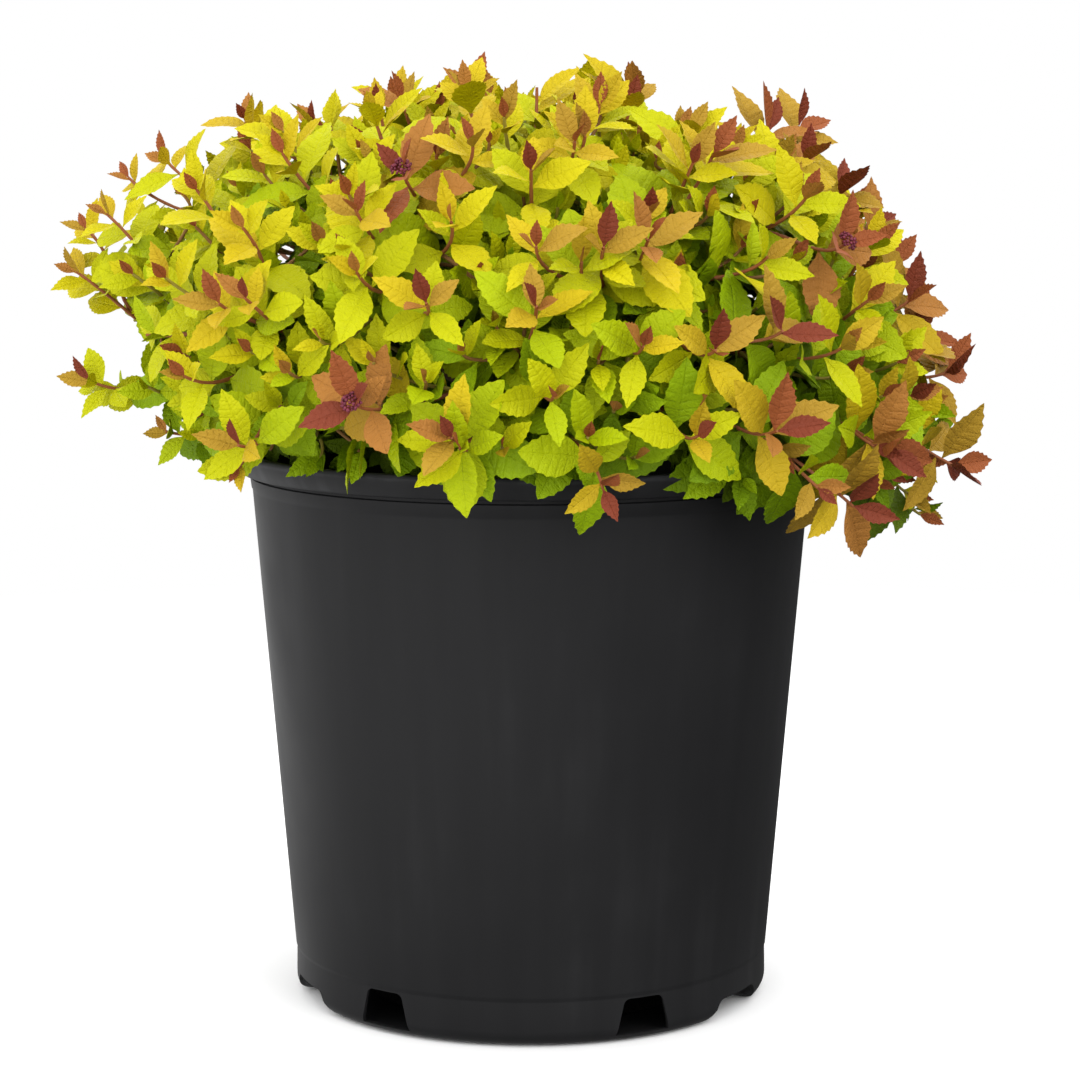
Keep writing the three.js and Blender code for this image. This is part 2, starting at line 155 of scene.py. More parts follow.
def marked(name, points, edges=(), **marks):
    """Bare points in millimetres, and edges, with a named attribute for each list of marks."""
    mesh = bpy.data.meshes.new(name)
    mesh.from_pydata((np.asarray(points) * MM).tolist(), list(edges), [])
    for label, values in marks.items():
        values = np.asarray(values)
        kind, slot = ("INT" if values.dtype.kind == "i" else "FLOAT"), "value"
        if values.ndim > 1:
            kind, slot = "FLOAT_VECTOR", "vector"
        mesh.attributes.new(label, kind, "POINT").data.foreach_set(slot, values.ravel().tolist())
    return bpy.data.objects.new(name, mesh)


def quads_between(rings, size):
    """Faces that join rings of points, each to the next one up."""
    starts = [(i * size, (i + 1) * size) for i in range(rings - 1)]
    turns = [(j, (j + 1) % size) for j in range(size)]
    return [(a + j, a + k, b + k, b + j) for a, b in starts for j, k in turns]


print("faces between two rings of four:", quads_between(2, 4))

# %% [markdown]
# Geometry Nodes trees, materials and the world are all built of nodes, so one small class adds a
# node and joins its inputs, and each kind of tree stands on it. A Geometry Nodes tree gets its inputs
# by the socket's identifier, and its result is then turned into a plain mesh, because an exported
# model keeps neither modifiers nor instances.

# %% Nodes, and trees that make shapes
class Nodes:
    """Adds nodes to a tree. Inputs come in order or by label, as sockets or as plain values."""

    def __init__(self, node_tree):
        self.nodes, self.links = node_tree.nodes, node_tree.links

    def node(self, kind, *inputs, settings=None, **labelled):
        made = self.nodes.new(kind)
        for key, value in (settings or {}).items():
            setattr(made, key, value)
        live = [socket for socket in made.inputs if socket.enabled]
        by_label = {socket.name.replace(" ", "_"): socket for socket in reversed(live)}
        wires = [*zip(live, inputs), *((by_label[label], value) for label, value in labelled.items())]
        for socket, value in wires:
            if isinstance(value, bpy.types.NodeSocket):
                self.links.new(value, socket)
            else:
                socket.default_value = value
        return made

    def out(self, kind, *inputs, **labelled):
        """The first live output of such a node."""
        return next(s for s in self.node(kind, *inputs, **labelled).outputs if s.enabled)

    def reckon(self, kind, operation, *values):
        """The result of a node that has an operation, such as Math or Compare."""
        return self.out(kind, *values, settings={"operation": operation})

    def between(self, value, low, high, to_low=0.0, to_high=1.0):
        """A value carried from one range to another, cut off at its ends."""
        return self.out("ShaderNodeMapRange", value, low, high, to_low, to_high)

    def axes(self, vector):
        """The outputs X, Y and Z of a vector."""
        return self.node("ShaderNodeSeparateXYZ", vector).outputs


class Tree(Nodes):
    """A Geometry Nodes tree with named inputs; the first input is the geometry it works on."""

    def __init__(self, name, **inputs):
        self.group = bpy.data.node_groups.new(name, "GeometryNodeTree")
        super().__init__(self.group)
        face = self.group.interface
        face.new_socket("Geometry", in_out="INPUT", socket_type="NodeSocketGeometry")
        for label, kind in inputs.items():
            face.new_socket(label, in_out="INPUT", socket_type=f"NodeSocket{kind}")
        face.new_socket("Geometry", in_out="OUTPUT", socket_type="NodeSocketGeometry")
        self.start = self.nodes.new("NodeGroupInput").outputs
        self.end = self.nodes.new("NodeGroupOutput").inputs

    def attribute(self, name, kind="FLOAT"):
        return self.out("GeometryNodeInputNamedAttribute", name, settings={"data_type": kind})

    def shapes(self):
        """The shapes of the input collection, one instance each."""
        return self.out("GeometryNodeCollectionInfo", self.start["Shapes"], True, True)

    def copies(self, points, instance, **wires):
        return self.out("GeometryNodeInstanceOnPoints", Points=points, Instance=instance, **wires)

    def finish(self, geometry):
        """Realizes what is left as instances and sets the finish."""
        real = self.out("GeometryNodeRealizeInstances", geometry)
        done = self.out("GeometryNodeSetMaterial", real, Material=self.start["Material"])
        self.links.new(done, self.end[0])
        return self


def settle(obj, tree, **values):
    """Runs a tree on an object and leaves a plain mesh in its place."""
    modifier = obj.modifiers.new(tree.group.name, "NODES")
    modifier.node_group = tree.group
    for item in tree.group.interface.items_tree:
        if item.in_out == "INPUT" and item.name in values:
            modifier[item.identifier] = values[item.name]
    bpy.context.view_layer.update()
    graph = bpy.context.evaluated_depsgraph_get()
    mesh = bpy.data.meshes.new_from_object(obj.evaluated_get(graph))
    mesh.name = obj.name
    obj.modifiers.clear()
    obj.data = mesh
    return obj


print("node helpers:", Nodes.__name__, "and", Tree.__name__)

# %% Finishes
def linear(red, green, blue):
    """A colour as a paint chart gives it, 0 to 255, in the linear values that Blender uses."""
    channels = [c / 255 for c in (red, green, blue)]
    return [c / 12.92 if c <= 0.04045 else ((c + 0.055) / 1.055) ** 2.4 for c in channels] + [1.0]


class Finish(Nodes):
    """A node material with its Principled shader, patterned in the object's own coordinates."""

    def __init__(self, name, colour, roughness, specular=0.5):
        self.material = bpy.data.materials.new(name)
        self.material.use_nodes = True
        super().__init__(self.material.node_tree)
        self.shader = self.nodes["Principled BSDF"]
        self.shader.inputs["Base Color"].default_value = linear(*colour)
        self.shader.inputs["Roughness"].default_value = roughness
        self.shader.inputs["Specular IOR Level"].default_value = specular
        self.place = self.nodes.new("ShaderNodeTexCoord").outputs["Object"]

    def feed(self, label, value):
        self.links.new(value, self.shader.inputs[label])

    def stretched(self, scale):
        """The object's coordinates with a scale for each axis."""
        return self.out("ShaderNodeMapping", Vector=self.place, Scale=scale)

    def noise(self, scale, detail=3.0, where=None):
        where = where or self.place
        return self.out("ShaderNodeTexNoise", Vector=where, Scale=scale, Detail=detail)

    def colours(self, value, *stops):
        """A ramp of (place, colour) stops, fed to the base colour."""
        ramp = self.node("ShaderNodeValToRGB", value)
        points = ramp.color_ramp.elements
        while len(points) < len(stops):
            points.new(0.5)
        for point, (place, colour) in zip(points, stops):
            point.position = place
            point.color = linear(*colour)
        self.feed("Base Color", ramp.outputs["Color"])

    def bumps(self, *layers):
        """Relief in layers of (height, depth in mm, strength)."""
        under = None
        for height, depth, strength in layers:
            made = self.node("ShaderNodeBump", Height=height, Distance=depth * MM, Strength=strength)
            if under:
                self.links.new(under, made.inputs["Normal"])
            under = made.outputs["Normal"]
        self.feed("Normal", under)


print("mid grey, linear:", round(linear(128, 128, 128)[0], 3))

# %% [markdown]
# ## The camera, the floor and the light
#
# The plant is seen from a little above, with a long lens, as a catalogue shows it. The floor is a
# pale sheet that takes a soft shadow near the pot and shines evenly white further out, so that no
# horizon shows behind the leaves. The light is that of a white tent: bright from the roof, the front
# and the left, and dimmer on the right, which gives the crown its form. The floor throws some of it
# back up on the same sides, and three weak soft lamps fill in.

# %% Camera
EYE = (0.004, -1.251, 0.3576)  # metres
PITCH = 7.5  # degrees that the camera looks down
LENS = 98.3  # mm
SENSOR = 36  # mm across

camera = link(bpy.data.objects.new("camera", bpy.data.cameras.new("camera")))
camera.location = EYE
camera.rotation_euler = (math.radians(90 - PITCH), 0, 0)
camera.data.lens = LENS
camera.data.sensor_width = SENSOR
bpy.context.scene.camera = camera
print("field of view:", round(math.degrees(2 * math.atan(SENSOR / 2 / LENS)), 1), "degrees")

# %% Floor
FLOOR = {  # metres
    "half": 40.0,
    "below": 0.0004,  # under the pot's foot
    "whitens": (0.35, 1.2),  # distance from the pot over which the sheet turns evenly white
}
# Brightness of the floor as the plant sees it, and the metres of x and y over which it changes.
BOUNCE = {"left": 1.15, "right": 0.1, "front": 0.85, "across": (-0.4, 0.15), "along": (-0.9, -0.15)}


def build_floor():
    corners = [(-1, -1, 0), (1, -1, 0), (1, 1, 0), (-1, 1, 0)]
    floor = piece("floor", np.array(corners) * FLOOR["half"] / MM, [(0, 1, 2, 3)], smooth=False)
    floor.location.z = -FLOOR["below"]
    sheet = Finish("floor_paper", (246, 246, 246), 0.9, 0.1)
    away = sheet.reckon("ShaderNodeVectorMath", "LENGTH", sheet.place)
    share = sheet.between(away, *FLOOR["whitens"])
    glow = sheet.out("ShaderNodeEmission", WHITE)
    paper = sheet.out("ShaderNodeMixShader", share, sheet.shader.outputs[0], glow)
    spot = sheet.axes(sheet.place)
    sidewards = sheet.between(spot["X"], *BOUNCE["across"], BOUNCE["left"], BOUNCE["right"])
    forwards = sheet.between(spot["Y"], *BOUNCE["along"], BOUNCE["front"], 0.0)
    strength = sheet.reckon("ShaderNodeMath", "ADD", sidewards, forwards)
    bounce = sheet.out("ShaderNodeEmission", WHITE, strength)
    seen = sheet.node("ShaderNodeLightPath").outputs["Is Camera Ray"]
    either = sheet.out("ShaderNodeMixShader", seen, bounce, paper)
    sheet.links.new(either, sheet.nodes["Material Output"].inputs["Surface"])
    floor.data.materials.append(sheet.material)
    floor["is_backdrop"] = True


build_floor()
print("floor:", 2 * FLOOR["half"], "m square, white from", FLOOR["whitens"][1], "m out")

# %% World and lamps
TENT = {  # brightness of the tent, and the parts of a heading over which it changes
    "left": 1.4,
    "right": 0.55,
    "front": 1.6,
    "roof": 1.75,
    "across": (-0.5, 0.5),
    "along": (-1.0, 0.0),
    "upward": (0.0, 0.5),
}
LAMPS = {  # place in metres, size in metres, watts
    "key": ((-0.9, -1.6, 1.5), 1.1, 3.0),
    "fill": ((1.1, -1.5, 1.5), 1.1, 12.0),
    "top": ((0.1, 0.6, 1.9), 1.0, 3.0),
}
LAMP_TARGET = Vector((0, 0, 0.25))


def build_world():
    """Tent walls that dim from left to right, brighter in front, under an even roof."""
    world = bpy.data.worlds.new("tent")
    world.use_nodes = True
    sky = Nodes(world.node_tree)
    heading = sky.axes(sky.node("ShaderNodeTexCoord").outputs["Generated"])
    sidewards = sky.between(heading["X"], *TENT["across"], TENT["left"], TENT["right"])
    forwards = sky.between(heading["Y"], *TENT["along"], TENT["front"], 0.0)
    wall = sky.reckon("ShaderNodeMath", "ADD", sidewards, forwards)
    rise = sky.between(heading["Z"], *TENT["upward"])
    tent = sky.out("ShaderNodeBackground", WHITE, sky.out("ShaderNodeMix", rise, wall, TENT["roof"]))
    white = sky.nodes["Background"]
    white.inputs["Color"].default_value = WHITE
    seen = sky.node("ShaderNodeLightPath").outputs["Is Camera Ray"]
    either = sky.out("ShaderNodeMixShader", seen, tent, white.outputs[0])
    sky.links.new(either, sky.nodes["World Output"].inputs["Surface"])
    bpy.context.scene.world = world


def build_lamp(name, place, size, watts):
    data = bpy.data.lights.new(name, "AREA")
    data.energy, data.size = watts, size
    lamp = link(bpy.data.objects.new(name, data))
    lamp.location = place
    lamp.rotation_euler = (LAMP_TARGET - Vector(place)).to_track_quat("-Z", "Y").to_euler()


build_world()
for lamp_name, (lamp_place, lamp_size, lamp_watts) in LAMPS.items():
    build_lamp(lamp_name, lamp_place, lamp_size, lamp_watts)
bpy.context.scene.view_settings.view_transform = "Standard"
print("lamps:", ", ".join(LAMPS))

# %% [markdown]
# ## The pot
#
# A nursery pot is injection moulded: a thin wall with a few degrees of draft, a turned-out rim, a
# rounded foot, and drain windows through the foot's corner. Being round, it is one profile turned
# about the axis. The windows come in two shapes, four of each. Geometry Nodes set the four copies of
# a shape round the foot and cut them away in one Boolean.

# %% Pot profile
POT = {
    "height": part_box("pot")[1].z / MM,
    "rim_radius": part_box("pot")[1].x / MM,
    "wall": 1.6,
    "floor": 1.8,
    "foot_radius": 95,
    "foot_corner": 6.5,
    "step_height": 20,
    "step_radius": 101.8,
    "ring": (0.5, 1.6, 0.8),  # depth of the ring line, and its edges under the step
    "neck_radius": 118.7,
    "band": (0.45, 7.0, 0.6),  # rise of the band under the rim, its foot, and its slope's height
    "groove": (0.4, 1.5, 2.0),  # depth of the shadow line over the band, its foot, the band's top
    "rim_band": 9.5,
    "rim_foot_radius": 123.5,
    "rim_bevel": 0.8,
    "rim_round": 1.8,
    "lip": ((1.2, 0.2), (-0.6, 1.0)),  # two points inside the rim: out from the wall, down from the top
    "seam": 0.1,
    "segments": 192,
}
RIM_BASE = POT["height"] - POT["rim_band"]


def wall_radius(height):
    """The wall's outside radius between the foot step and the rim."""
    share = (height - POT["step_height"]) / (RIM_BASE - POT["step_height"])
    return mix(POT["step_radius"], POT["neck_radius"], share)


def outer_profile():
    """From the foot's centre up over the ring line, the wall, the band and the rim."""
    step, seam = POT["step_height"], POT["seam"]
    ring, ring_low, ring_high = POT["ring"]
    rise, band_height, slope = POT["band"]
    groove, groove_foot, band_top = POT["groove"]
    band_foot = RIM_BASE - band_height
    rim, bevel, top = POT["rim_foot_radius"], POT["rim_bevel"], POT["height"] - POT["rim_round"]
    inner_wall = POT["neck_radius"] + POT["wall"]
    return [
        [0.0, 0.0],
        *arc([POT["foot_radius"], POT["foot_corner"]], POT["foot_corner"], -90, 0, 8),
        [wall_radius(step) - ring, step - ring_low],
        [wall_radius(step) - ring, step - ring_high],
        [wall_radius(step), step],
        [wall_radius(step + 1), step + 1],
        *[[wall_radius(h), h] for h in np.linspace(step + 40, band_foot - 1, 6)],
        [wall_radius(band_foot), band_foot],
        [wall_radius(band_foot) + rise, band_foot + slope],
        [wall_radius(RIM_BASE) + rise, RIM_BASE - band_top],
        [wall_radius(RIM_BASE) - groove, RIM_BASE - groove_foot],
        [wall_radius(RIM_BASE) - groove, RIM_BASE + seam],
        [rim - bevel, RIM_BASE + seam],
        [rim, RIM_BASE + bevel - seam],
        *arc([POT["rim_radius"] - POT["rim_round"], top], POT["rim_round"], 0, 90, 6),
        *[[inner_wall + out, POT["height"] - down] for out, down in POT["lip"]],
    ]


def inner_profile(clearance):
    """The pot's inside from the floor's centre up to the neck, drawn in by a clearance."""
    inset = POT["wall"] + clearance
    foot = [POT["foot_radius"], POT["foot_corner"]]
    return [
        [0.0, POT["floor"] + clearance],
        *arc(foot, POT["foot_corner"] - inset, -90, 0, 5),
        [POT["step_radius"] - inset, POT["step_height"]],
        [POT["neck_radius"] - inset, RIM_BASE],
    ]


def turned(profile, segments):
    """Points and faces of a closed profile, which starts and ends on the axis, turned round +Z."""
    rings = profile[1:-1]
    angles = np.arange(segments) * TURN / segments
    points = [[r * math.cos(a), r * math.sin(a), z] for r, z in rings for a in angles]
    points += [[0, 0, profile[0][1]], [0, 0, profile[-1][1]]]
    low, high = len(points) - 2, len(points) - 1
    starts = [i * segments for i in range(len(rings))]
    faces = []
    for j in range(segments):
        k = (j + 1) % segments
        faces.append((low, k, j))
        faces += [(a + j, a + k, b + k, b + j) for a, b in zip(starts, starts[1:])]
        faces.append((starts[-1] + j, starts[-1] + k, high))
    return points, faces


draft = math.atan((POT["neck_radius"] - POT["step_radius"]) / (RIM_BASE - POT["step_height"]))
print("pot profile:", len(outer_profile()), "points outside, draft", round(math.degrees(draft), 1))

# %% Drain windows
DRAIN = {"heading": -4.5, "inner_radius": 86, "depth": 24, "slant": 12, "ease": 0.4}
# Two shapes of window: degrees to each side of a set's middle, then sizes.
WINDOWS = {
    "wall": {"offset": 31.6, "sill": 2.8, "top": 18, "lower": 24.5, "upper": 17.5, "corner": 3.0},
    "foot": {"offset": 64, "sill": -1.0, "top": 9, "lower": 46, "upper": 33, "corner": 5.0},
}


def drain_angles(window):
    """Headings of a window's four copies; the foot's far side mirrors the near one."""
    middles = (DRAIN["heading"], 180 + DRAIN["heading"])
    return [math.radians(middle + sign * window["offset"]) for middle in middles for sign in (-1, 1)]


def drain_cutter(window):
    """A trapezium with rounded upper corners, pushed outwards through the foot."""
    corner = window["corner"]
    centre = [window["upper"] / 2 - corner + DRAIN["ease"], window["top"] - corner]
    right = [[window["lower"] / 2, window["sill"]], *arc(centre, corner, DRAIN["slant"], 90, 5)]
    outline = right + [[-x, z] for x, z in reversed(right)]
    inner, outer = -DRAIN["inner_radius"], -DRAIN["inner_radius"] - DRAIN["depth"]
    points = [[x, y, z] for y in (outer, inner) for x, z in outline]
    n = len(outline)
    faces = [list(range(n)), list(range(2 * n - 1, n - 1, -1))]
    faces += [(j, j + n, (j + 1) % n + n, (j + 1) % n) for j in range(n)]
    return bpy.data.objects.new("drain_cutter", mesh_of("drain_cutter", points, faces, False))


def drain_tree():
    """Cuts a copy of the cutter at each of the points, turned by the point's own angle."""
    tree = Tree("drain_windows", Cutter="Object", Points="Object", Material="Material")
    cutter = tree.node("GeometryNodeObjectInfo", Object=tree.start["Cutter"]).outputs["Geometry"]
    spots = tree.node("GeometryNodeObjectInfo", Object=tree.start["Points"]).outputs["Geometry"]
    turn = tree.out("ShaderNodeCombineXYZ", Z=tree.attribute("turn"))
    copies = tree.copies(spots, cutter, Rotation=tree.out("FunctionNodeEulerToRotation", turn))
    cut = tree.node("GeometryNodeMeshBoolean", settings={"operation": "DIFFERENCE", "solver": "EXACT"})
    tree.links.new(tree.start["Geometry"], cut.inputs["Mesh 1"])
    tree.links.new(tree.out("GeometryNodeRealizeInstances", copies), cut.inputs["Mesh 2"])
    return tree.finish(cut.outputs["Mesh"])


print("drain windows:", {name: len(drain_angles(window)) for name, window in WINDOWS.items()})


# %% [markdown]
# The plastic is satin black, and its finish is what age does to it: faint upright streaks from the
# melt's flow and scuffs that change the gloss. The rim band is painted a lighter grey, and a painted
# highlight runs along its lip, where light from above would catch them.

# %% The finished pot
def plastic():
    made = Finish("black_plastic", (30, 30, 31), 0.42, 0.12)
    streaks = made.noise(1.0, 4.0, made.stretched((90, 90, 3)))
    clouds = made.noise(14.0, 3.0)
    height = made.axes(made.place)["Z"]
    rim, lip = RIM_BASE * MM, POT["height"] * MM
    tone = made.between(streaks, 0.3, 0.7, 0.0, 0.25)
    for term in (
        made.between(clouds, 0.35, 0.7, 0.0, 0.25),
        # painted highlight: the rim band above its foot is painted a lighter grey, and a thin line near
        # the lip lighter still
        made.between(height, rim, rim + 0.001, 0.0, 0.25),
        made.between(height, lip - 0.003, lip - 0.0005, 0.0, 0.3),
    ):
        tone = made.reckon("ShaderNodeMath", "ADD", tone, term)
    made.colours(tone, (0.0, (27, 27, 28)), (0.3, (30, 30, 31)), (0.5, (36, 36, 37)), (1.0, (74, 74, 77)))
    made.feed("Roughness", made.between(clouds, 0.3, 0.75, 0.38, 0.56))
    made.bumps((streaks, 0.25, 0.25), (made.noise(1600.0, 2.0), 0.03, 0.35))
    return made.material


def build_pot():
    profile = outer_profile() + inner_profile(0)[::-1]
    pot = piece("nursery_pot", *turned(profile, POT["segments"]))
    finish = plastic()
    for window in WINDOWS.values():
        angles = drain_angles(window)
        spots = marked("drain_spots", np.zeros((len(angles), 3)), turn=angles)
        settle(pot, drain_tree(), Cutter=drain_cutter(window), Points=spots, Material=finish)
    pot.data.set_sharp_from_angle(angle=math.radians(40))
    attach(pot, "root")
    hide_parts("pot")
    return pot


pot = build_pot()
print("pot:", triangles(pot), "triangles")

# %% [markdown]
# ## The potting mix
#
# Composted bark fills the pot to a finger's width under the rim. Its body is turned like the pot,
# with a rough upper skin. The loose bark flakes on top repeat without a pattern, so Geometry Nodes
# scatter a few flake shapes over the skin with a fixed seed.

# %% Mix body
MIX = {"level": 212, "slope_radius": 60, "slope_drop": 0.6, "edge_drop": 3, "gap": 0.3}
CRUMBS = {"room": 113, "scale": 0.12, "height": 1.1}
ROOT_BALL = {"radius": 72, "height": 24}  # behind the drain windows the fill stands back


def mix_surface(radius):
    edge = wall_radius(MIX["level"]) - POT["wall"] - 2 * MIX["gap"]
    if radius < MIX["slope_radius"]:
        return MIX["level"] - MIX["slope_drop"] * radius / MIX["slope_radius"]
    share = (radius - MIX["slope_radius"]) / (edge - MIX["slope_radius"])
    return MIX["level"] - mix(MIX["slope_drop"], MIX["edge_drop"], min(1.0, share))


def mix_profile():
    """The root ball's foot, the fill against the wall, and its skin from the edge to the middle."""
    low, high = inner_profile(MIX["gap"])[-2:]
    foot, ball = POT["floor"] + MIX["gap"], ROOT_BALL["radius"]
    root_ball = [[0, foot], [ball, foot], [ball + 1, foot + 1], [ball + 2, ROOT_BALL["height"]]]
    edge = MIX["level"] - MIX["edge_drop"]
    edge_radius = mix(low[0], high[0], (edge - low[1]) / (high[1] - low[1]))
    skin = [[r, mix_surface(r)] for r in np.linspace(edge_radius - 2 * MIX["gap"], 2, 40)]
    shoulder = [[low[0], ROOT_BALL["height"] + 2], [edge_radius, edge]]
    return root_ball + shoulder + skin + [[0, MIX["level"]]]


def crumbly(points):
    """Roughens the upper skin, away from the wall."""
    moved = np.array(points, float)
    for point in moved:
        radius = math.hypot(point[0], point[1])
        if point[2] > MIX["level"] - MIX["edge_drop"] - 0.5 and radius < CRUMBS["room"]:
            rough = noise.fractal(Vector(point) * CRUMBS["scale"], 1.0, 2.0, 4)
            point[2] += CRUMBS["height"] * rough
    return moved


print("mix:", len(mix_profile()), "points of profile")

# %% Flakes, and the finished mix
FLAKES = {"room": 108, "density": 48000.0, "smallest": 0.5, "largest": 1.7, "seed": 3, "flattest": 0.7}
FLAKE_OUTLINE = [[-1, -0.5], [0.2, -0.7], [1, -0.2], [0.8, 0.5], [-0.3, 0.6], [-1.1, 0.2]]
FLAKE = {"kinds": 4, "size": 2.2, "thick": 0.45, "crooked": 0.4, "seed": 77}


def flake_shapes():
    """A few bark flakes: flat splinters with a crooked outline."""
    shapes = bpy.data.collections.new("flake_shapes")
    draw = random_stream(FLAKE["seed"])
    for index in range(FLAKE["kinds"]):
        half = np.array(FLAKE_OUTLINE)
        half = half * (1 + FLAKE["crooked"] * (np.array([[draw(), draw()] for _ in half]) - 0.5))
        size, thick = FLAKE["size"] + draw(), FLAKE["thick"]
        ring = [[x * size, y * size, s * thick + 0.3 * draw()] for s in (0, 1) for x, y in half]
        faces = [(5, 4, 3, 2, 1, 0), (6, 7, 8, 9, 10, 11), *quads_between(2, 6)]
        mesh = mesh_of(f"flake_{index}", ring, faces, False)
        shapes.objects.link(bpy.data.objects.new(f"flake_{index}", mesh))
    return shapes


def flake_tree():
    """Scatters flakes over what faces up, away from the wall."""
    sizes = {"Density": "Float", "Room": "Float", "Seed": "Int", "Smallest": "Float", "Largest": "Float"}
    tree = Tree("scattered_flakes", **sizes, Shapes="Collection", Material="Material")
    rise = tree.axes(tree.out("GeometryNodeInputNormal"))["Z"]
    upward = tree.reckon("FunctionNodeCompare", "GREATER_THAN", rise, FLAKES["flattest"])
    place = tree.out("GeometryNodeInputPosition")
    flat = tree.reckon("ShaderNodeVectorMath", "MULTIPLY", place, (1, 1, 0))
    away = tree.reckon("ShaderNodeVectorMath", "LENGTH", flat)
    near = tree.reckon("FunctionNodeCompare", "LESS_THAN", away, tree.start["Room"])
    spots = tree.out(
        "GeometryNodeDistributePointsOnFaces",
        Mesh=tree.start["Geometry"],
        Selection=tree.reckon("FunctionNodeBooleanMath", "AND", upward, near),
        Density=tree.start["Density"],
        Seed=tree.start["Seed"],
    )
    low, high, vector = (-0.5, -0.5, 0.0), (0.5, 0.5, TURN), {"data_type": "FLOAT_VECTOR"}
    turn = tree.out("FunctionNodeRandomValue", low, high, Seed=1, settings=vector)
    spin = tree.out("FunctionNodeEulerToRotation", turn)
    smallest, largest = tree.start["Smallest"], tree.start["Largest"]
    size = tree.out("FunctionNodeRandomValue", smallest, largest, Seed=2)
    copies = tree.copies(spots, tree.shapes(), Pick_Instance=True, Rotation=spin, Scale=size)
    both = tree.node("GeometryNodeJoinGeometry", copies)
    tree.links.new(tree.start["Geometry"], both.inputs[0])
    return tree.finish(both.outputs[0])


def compost():
    """Dark bark crumbs, with painted shade that turns them near black towards the bottom, where no light
    comes in.
    """
    made = Finish("composted_bark", (40, 29, 21), 0.95, 0.1)
    grains = made.noise(420.0, 5.0)
    # painted shade: below 12 cm the crumbs darken, and they are near black at 3 cm, behind the drain
    # windows
    light = made.between(made.axes(made.place)["Z"], 0.03, 0.12)
    tone = made.reckon("ShaderNodeMath", "MULTIPLY", grains, light)
    made.colours(tone, (0.0, (6, 5, 4)), (0.3, (16, 12, 9)), (0.55, (40, 29, 21)), (0.8, (84, 62, 44)))
    made.bumps((grains, 1.2, 0.9))
    return made.material


def build_mix():
    points, faces = turned(mix_profile(), 120)
    body = piece("potting_mix_fill", crumbly(points), faces)
    settle(
        body,
        flake_tree(),
        Density=FLAKES["density"],
        Room=FLAKES["room"] * MM,
        Seed=FLAKES["seed"],
        Smallest=FLAKES["smallest"],
        Largest=FLAKES["largest"],
        Shapes=flake_shapes(),
        Material=compost(),
    )
    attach(body, "root")
    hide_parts("potting_mix")
    return body


fill = build_mix()
print("potting mix:", triangles(fill), "triangles")

# %% [markdown]
# ## The plan of the crown
#
# The crown grows by one rule. A few leading shoots are placed by a table, and the others leave the
# fork in directions spread by the golden angle. Each goes about as far as the dome lets it, and the
# nearest of eighteen boughs carries it. The numbers are those of the solids, and the seeded stream is
# the same, so that the shoots drawn here are the solids' own shoots.

# %% Crown dimensions
FORK = np.array([0.0, 0.0, 238.0])
GAP = 0.3
CROWN = {
    "radius": 188,
    "oval": 8,
    "leftward": 8.5,
    "backward": 5,
    "height": 161,
    "squareness": 2.5,
    "unevenness": 0.05,
}
# Where the dome swells or sinks: azimuth and elevation in degrees, share gained, spread in degrees.
SWELLS = [
    (180, 26, 0.05, 24),
    (0, 63, -0.06, 18),
    (0, 33, -0.05, 18),
    (60, 25, 0.04, 25),
    (130, 45, -0.04, 22),
]
# Leading shoots: azimuth, elevation, share of the dome's reach.
LEADERS = [
    (-158, 80, 0.98),
    (0, 73, 1.02),
    (-2, 52, 1.03),
    (-12, 45, 1.0),
    (180, 55, 0.94),
    (178, 37, 1.0),
    (-173, 28, 1.0),
    (-178, 20, 1.0),
    (-168, 8, 0.96),
    (-165, 2, 0.82),
    (2, 31, 1.0),
    (-7, 20, 0.98),
    (-4, 9, 1.02),
    (-12, -3, 1.03),
    (-22, -13, 0.92),
    (-113, 9, 1.0),
    (-89, 22, 1.0),
    (-130, 21, 1.0),
    (-80, -2, 0.98),
    (-64, 16, 1.0),
    (-55, 5, 1.0),
]
SHOOTS = {"count": 110, "leader_room": 9, "seed": 4117}
SKIRT = {"right": -12, "back": -7, "left": 1, "front": 1}
BOUGH = {"count": 18, "lowest": 8, "share": 0.4, "droop": 5, "base": 2.2, "tip": 1.6}
KNOB = 15


def within(low, value, high):
    return max(low, min(high, value))


def reach(aim):
    """How far leaf tips get from the fork in a direction."""
    azimuth, elevation = math.atan2(aim[1], aim[0]), math.asin(within(-1.0, aim[2], 1.0))
    side = CROWN["radius"] + CROWN["oval"] * math.cos(2 * azimuth)
    side += CROWN["backward"] * math.sin(azimuth) - CROWN["leftward"] * math.cos(azimuth)
    power = CROWN["squareness"]
    sideways = abs(math.cos(elevation) / side) ** power
    upward = abs(math.sin(elevation) / CROWN["height"]) ** power
    gain = 1.0
    for swell_azimuth, swell_elevation, share, spread_deg in SWELLS:
        cosine = within(-1.0, aimed(swell_azimuth, swell_elevation) @ aim, 1.0)
        apart = math.acos(cosine) / math.radians(spread_deg)
        gain += share * math.exp(-apart * apart)
    return gain * (sideways + upward) ** (-1 / power)


compass = {"up": (0, 90), "right": (0, 0), "left": (180, 0), "front": (-90, 0), "back": (90, 0)}
print("reach, mm:", {name: round(reach(aimed(*aim)), 1) for name, aim in compass.items()})


# %% Shoots and boughs
def skirt(azimuth):
    """The lowest elevation that shoots hang to on a side."""
    across = mix(SKIRT["left"], SKIRT["right"], 0.5 + 0.5 * math.cos(azimuth))
    along = mix(SKIRT["front"], SKIRT["back"], 0.5 + 0.5 * math.sin(azimuth))
    sidewards = math.cos(azimuth) ** 2
    return math.radians(across * sidewards + along * (1 - sidewards))


def spread(count, lowest):
    """Evenly spread directions, from overhead down to the lowest elevation on each side."""
    aims = []
    for k in range(count):
        azimuth = k * GOLDEN
        ground = math.sin(lowest(azimuth))
        aims.append(direction(azimuth, math.asin(1 - (1 - ground) * (k + 0.5) / count)))
    return aims


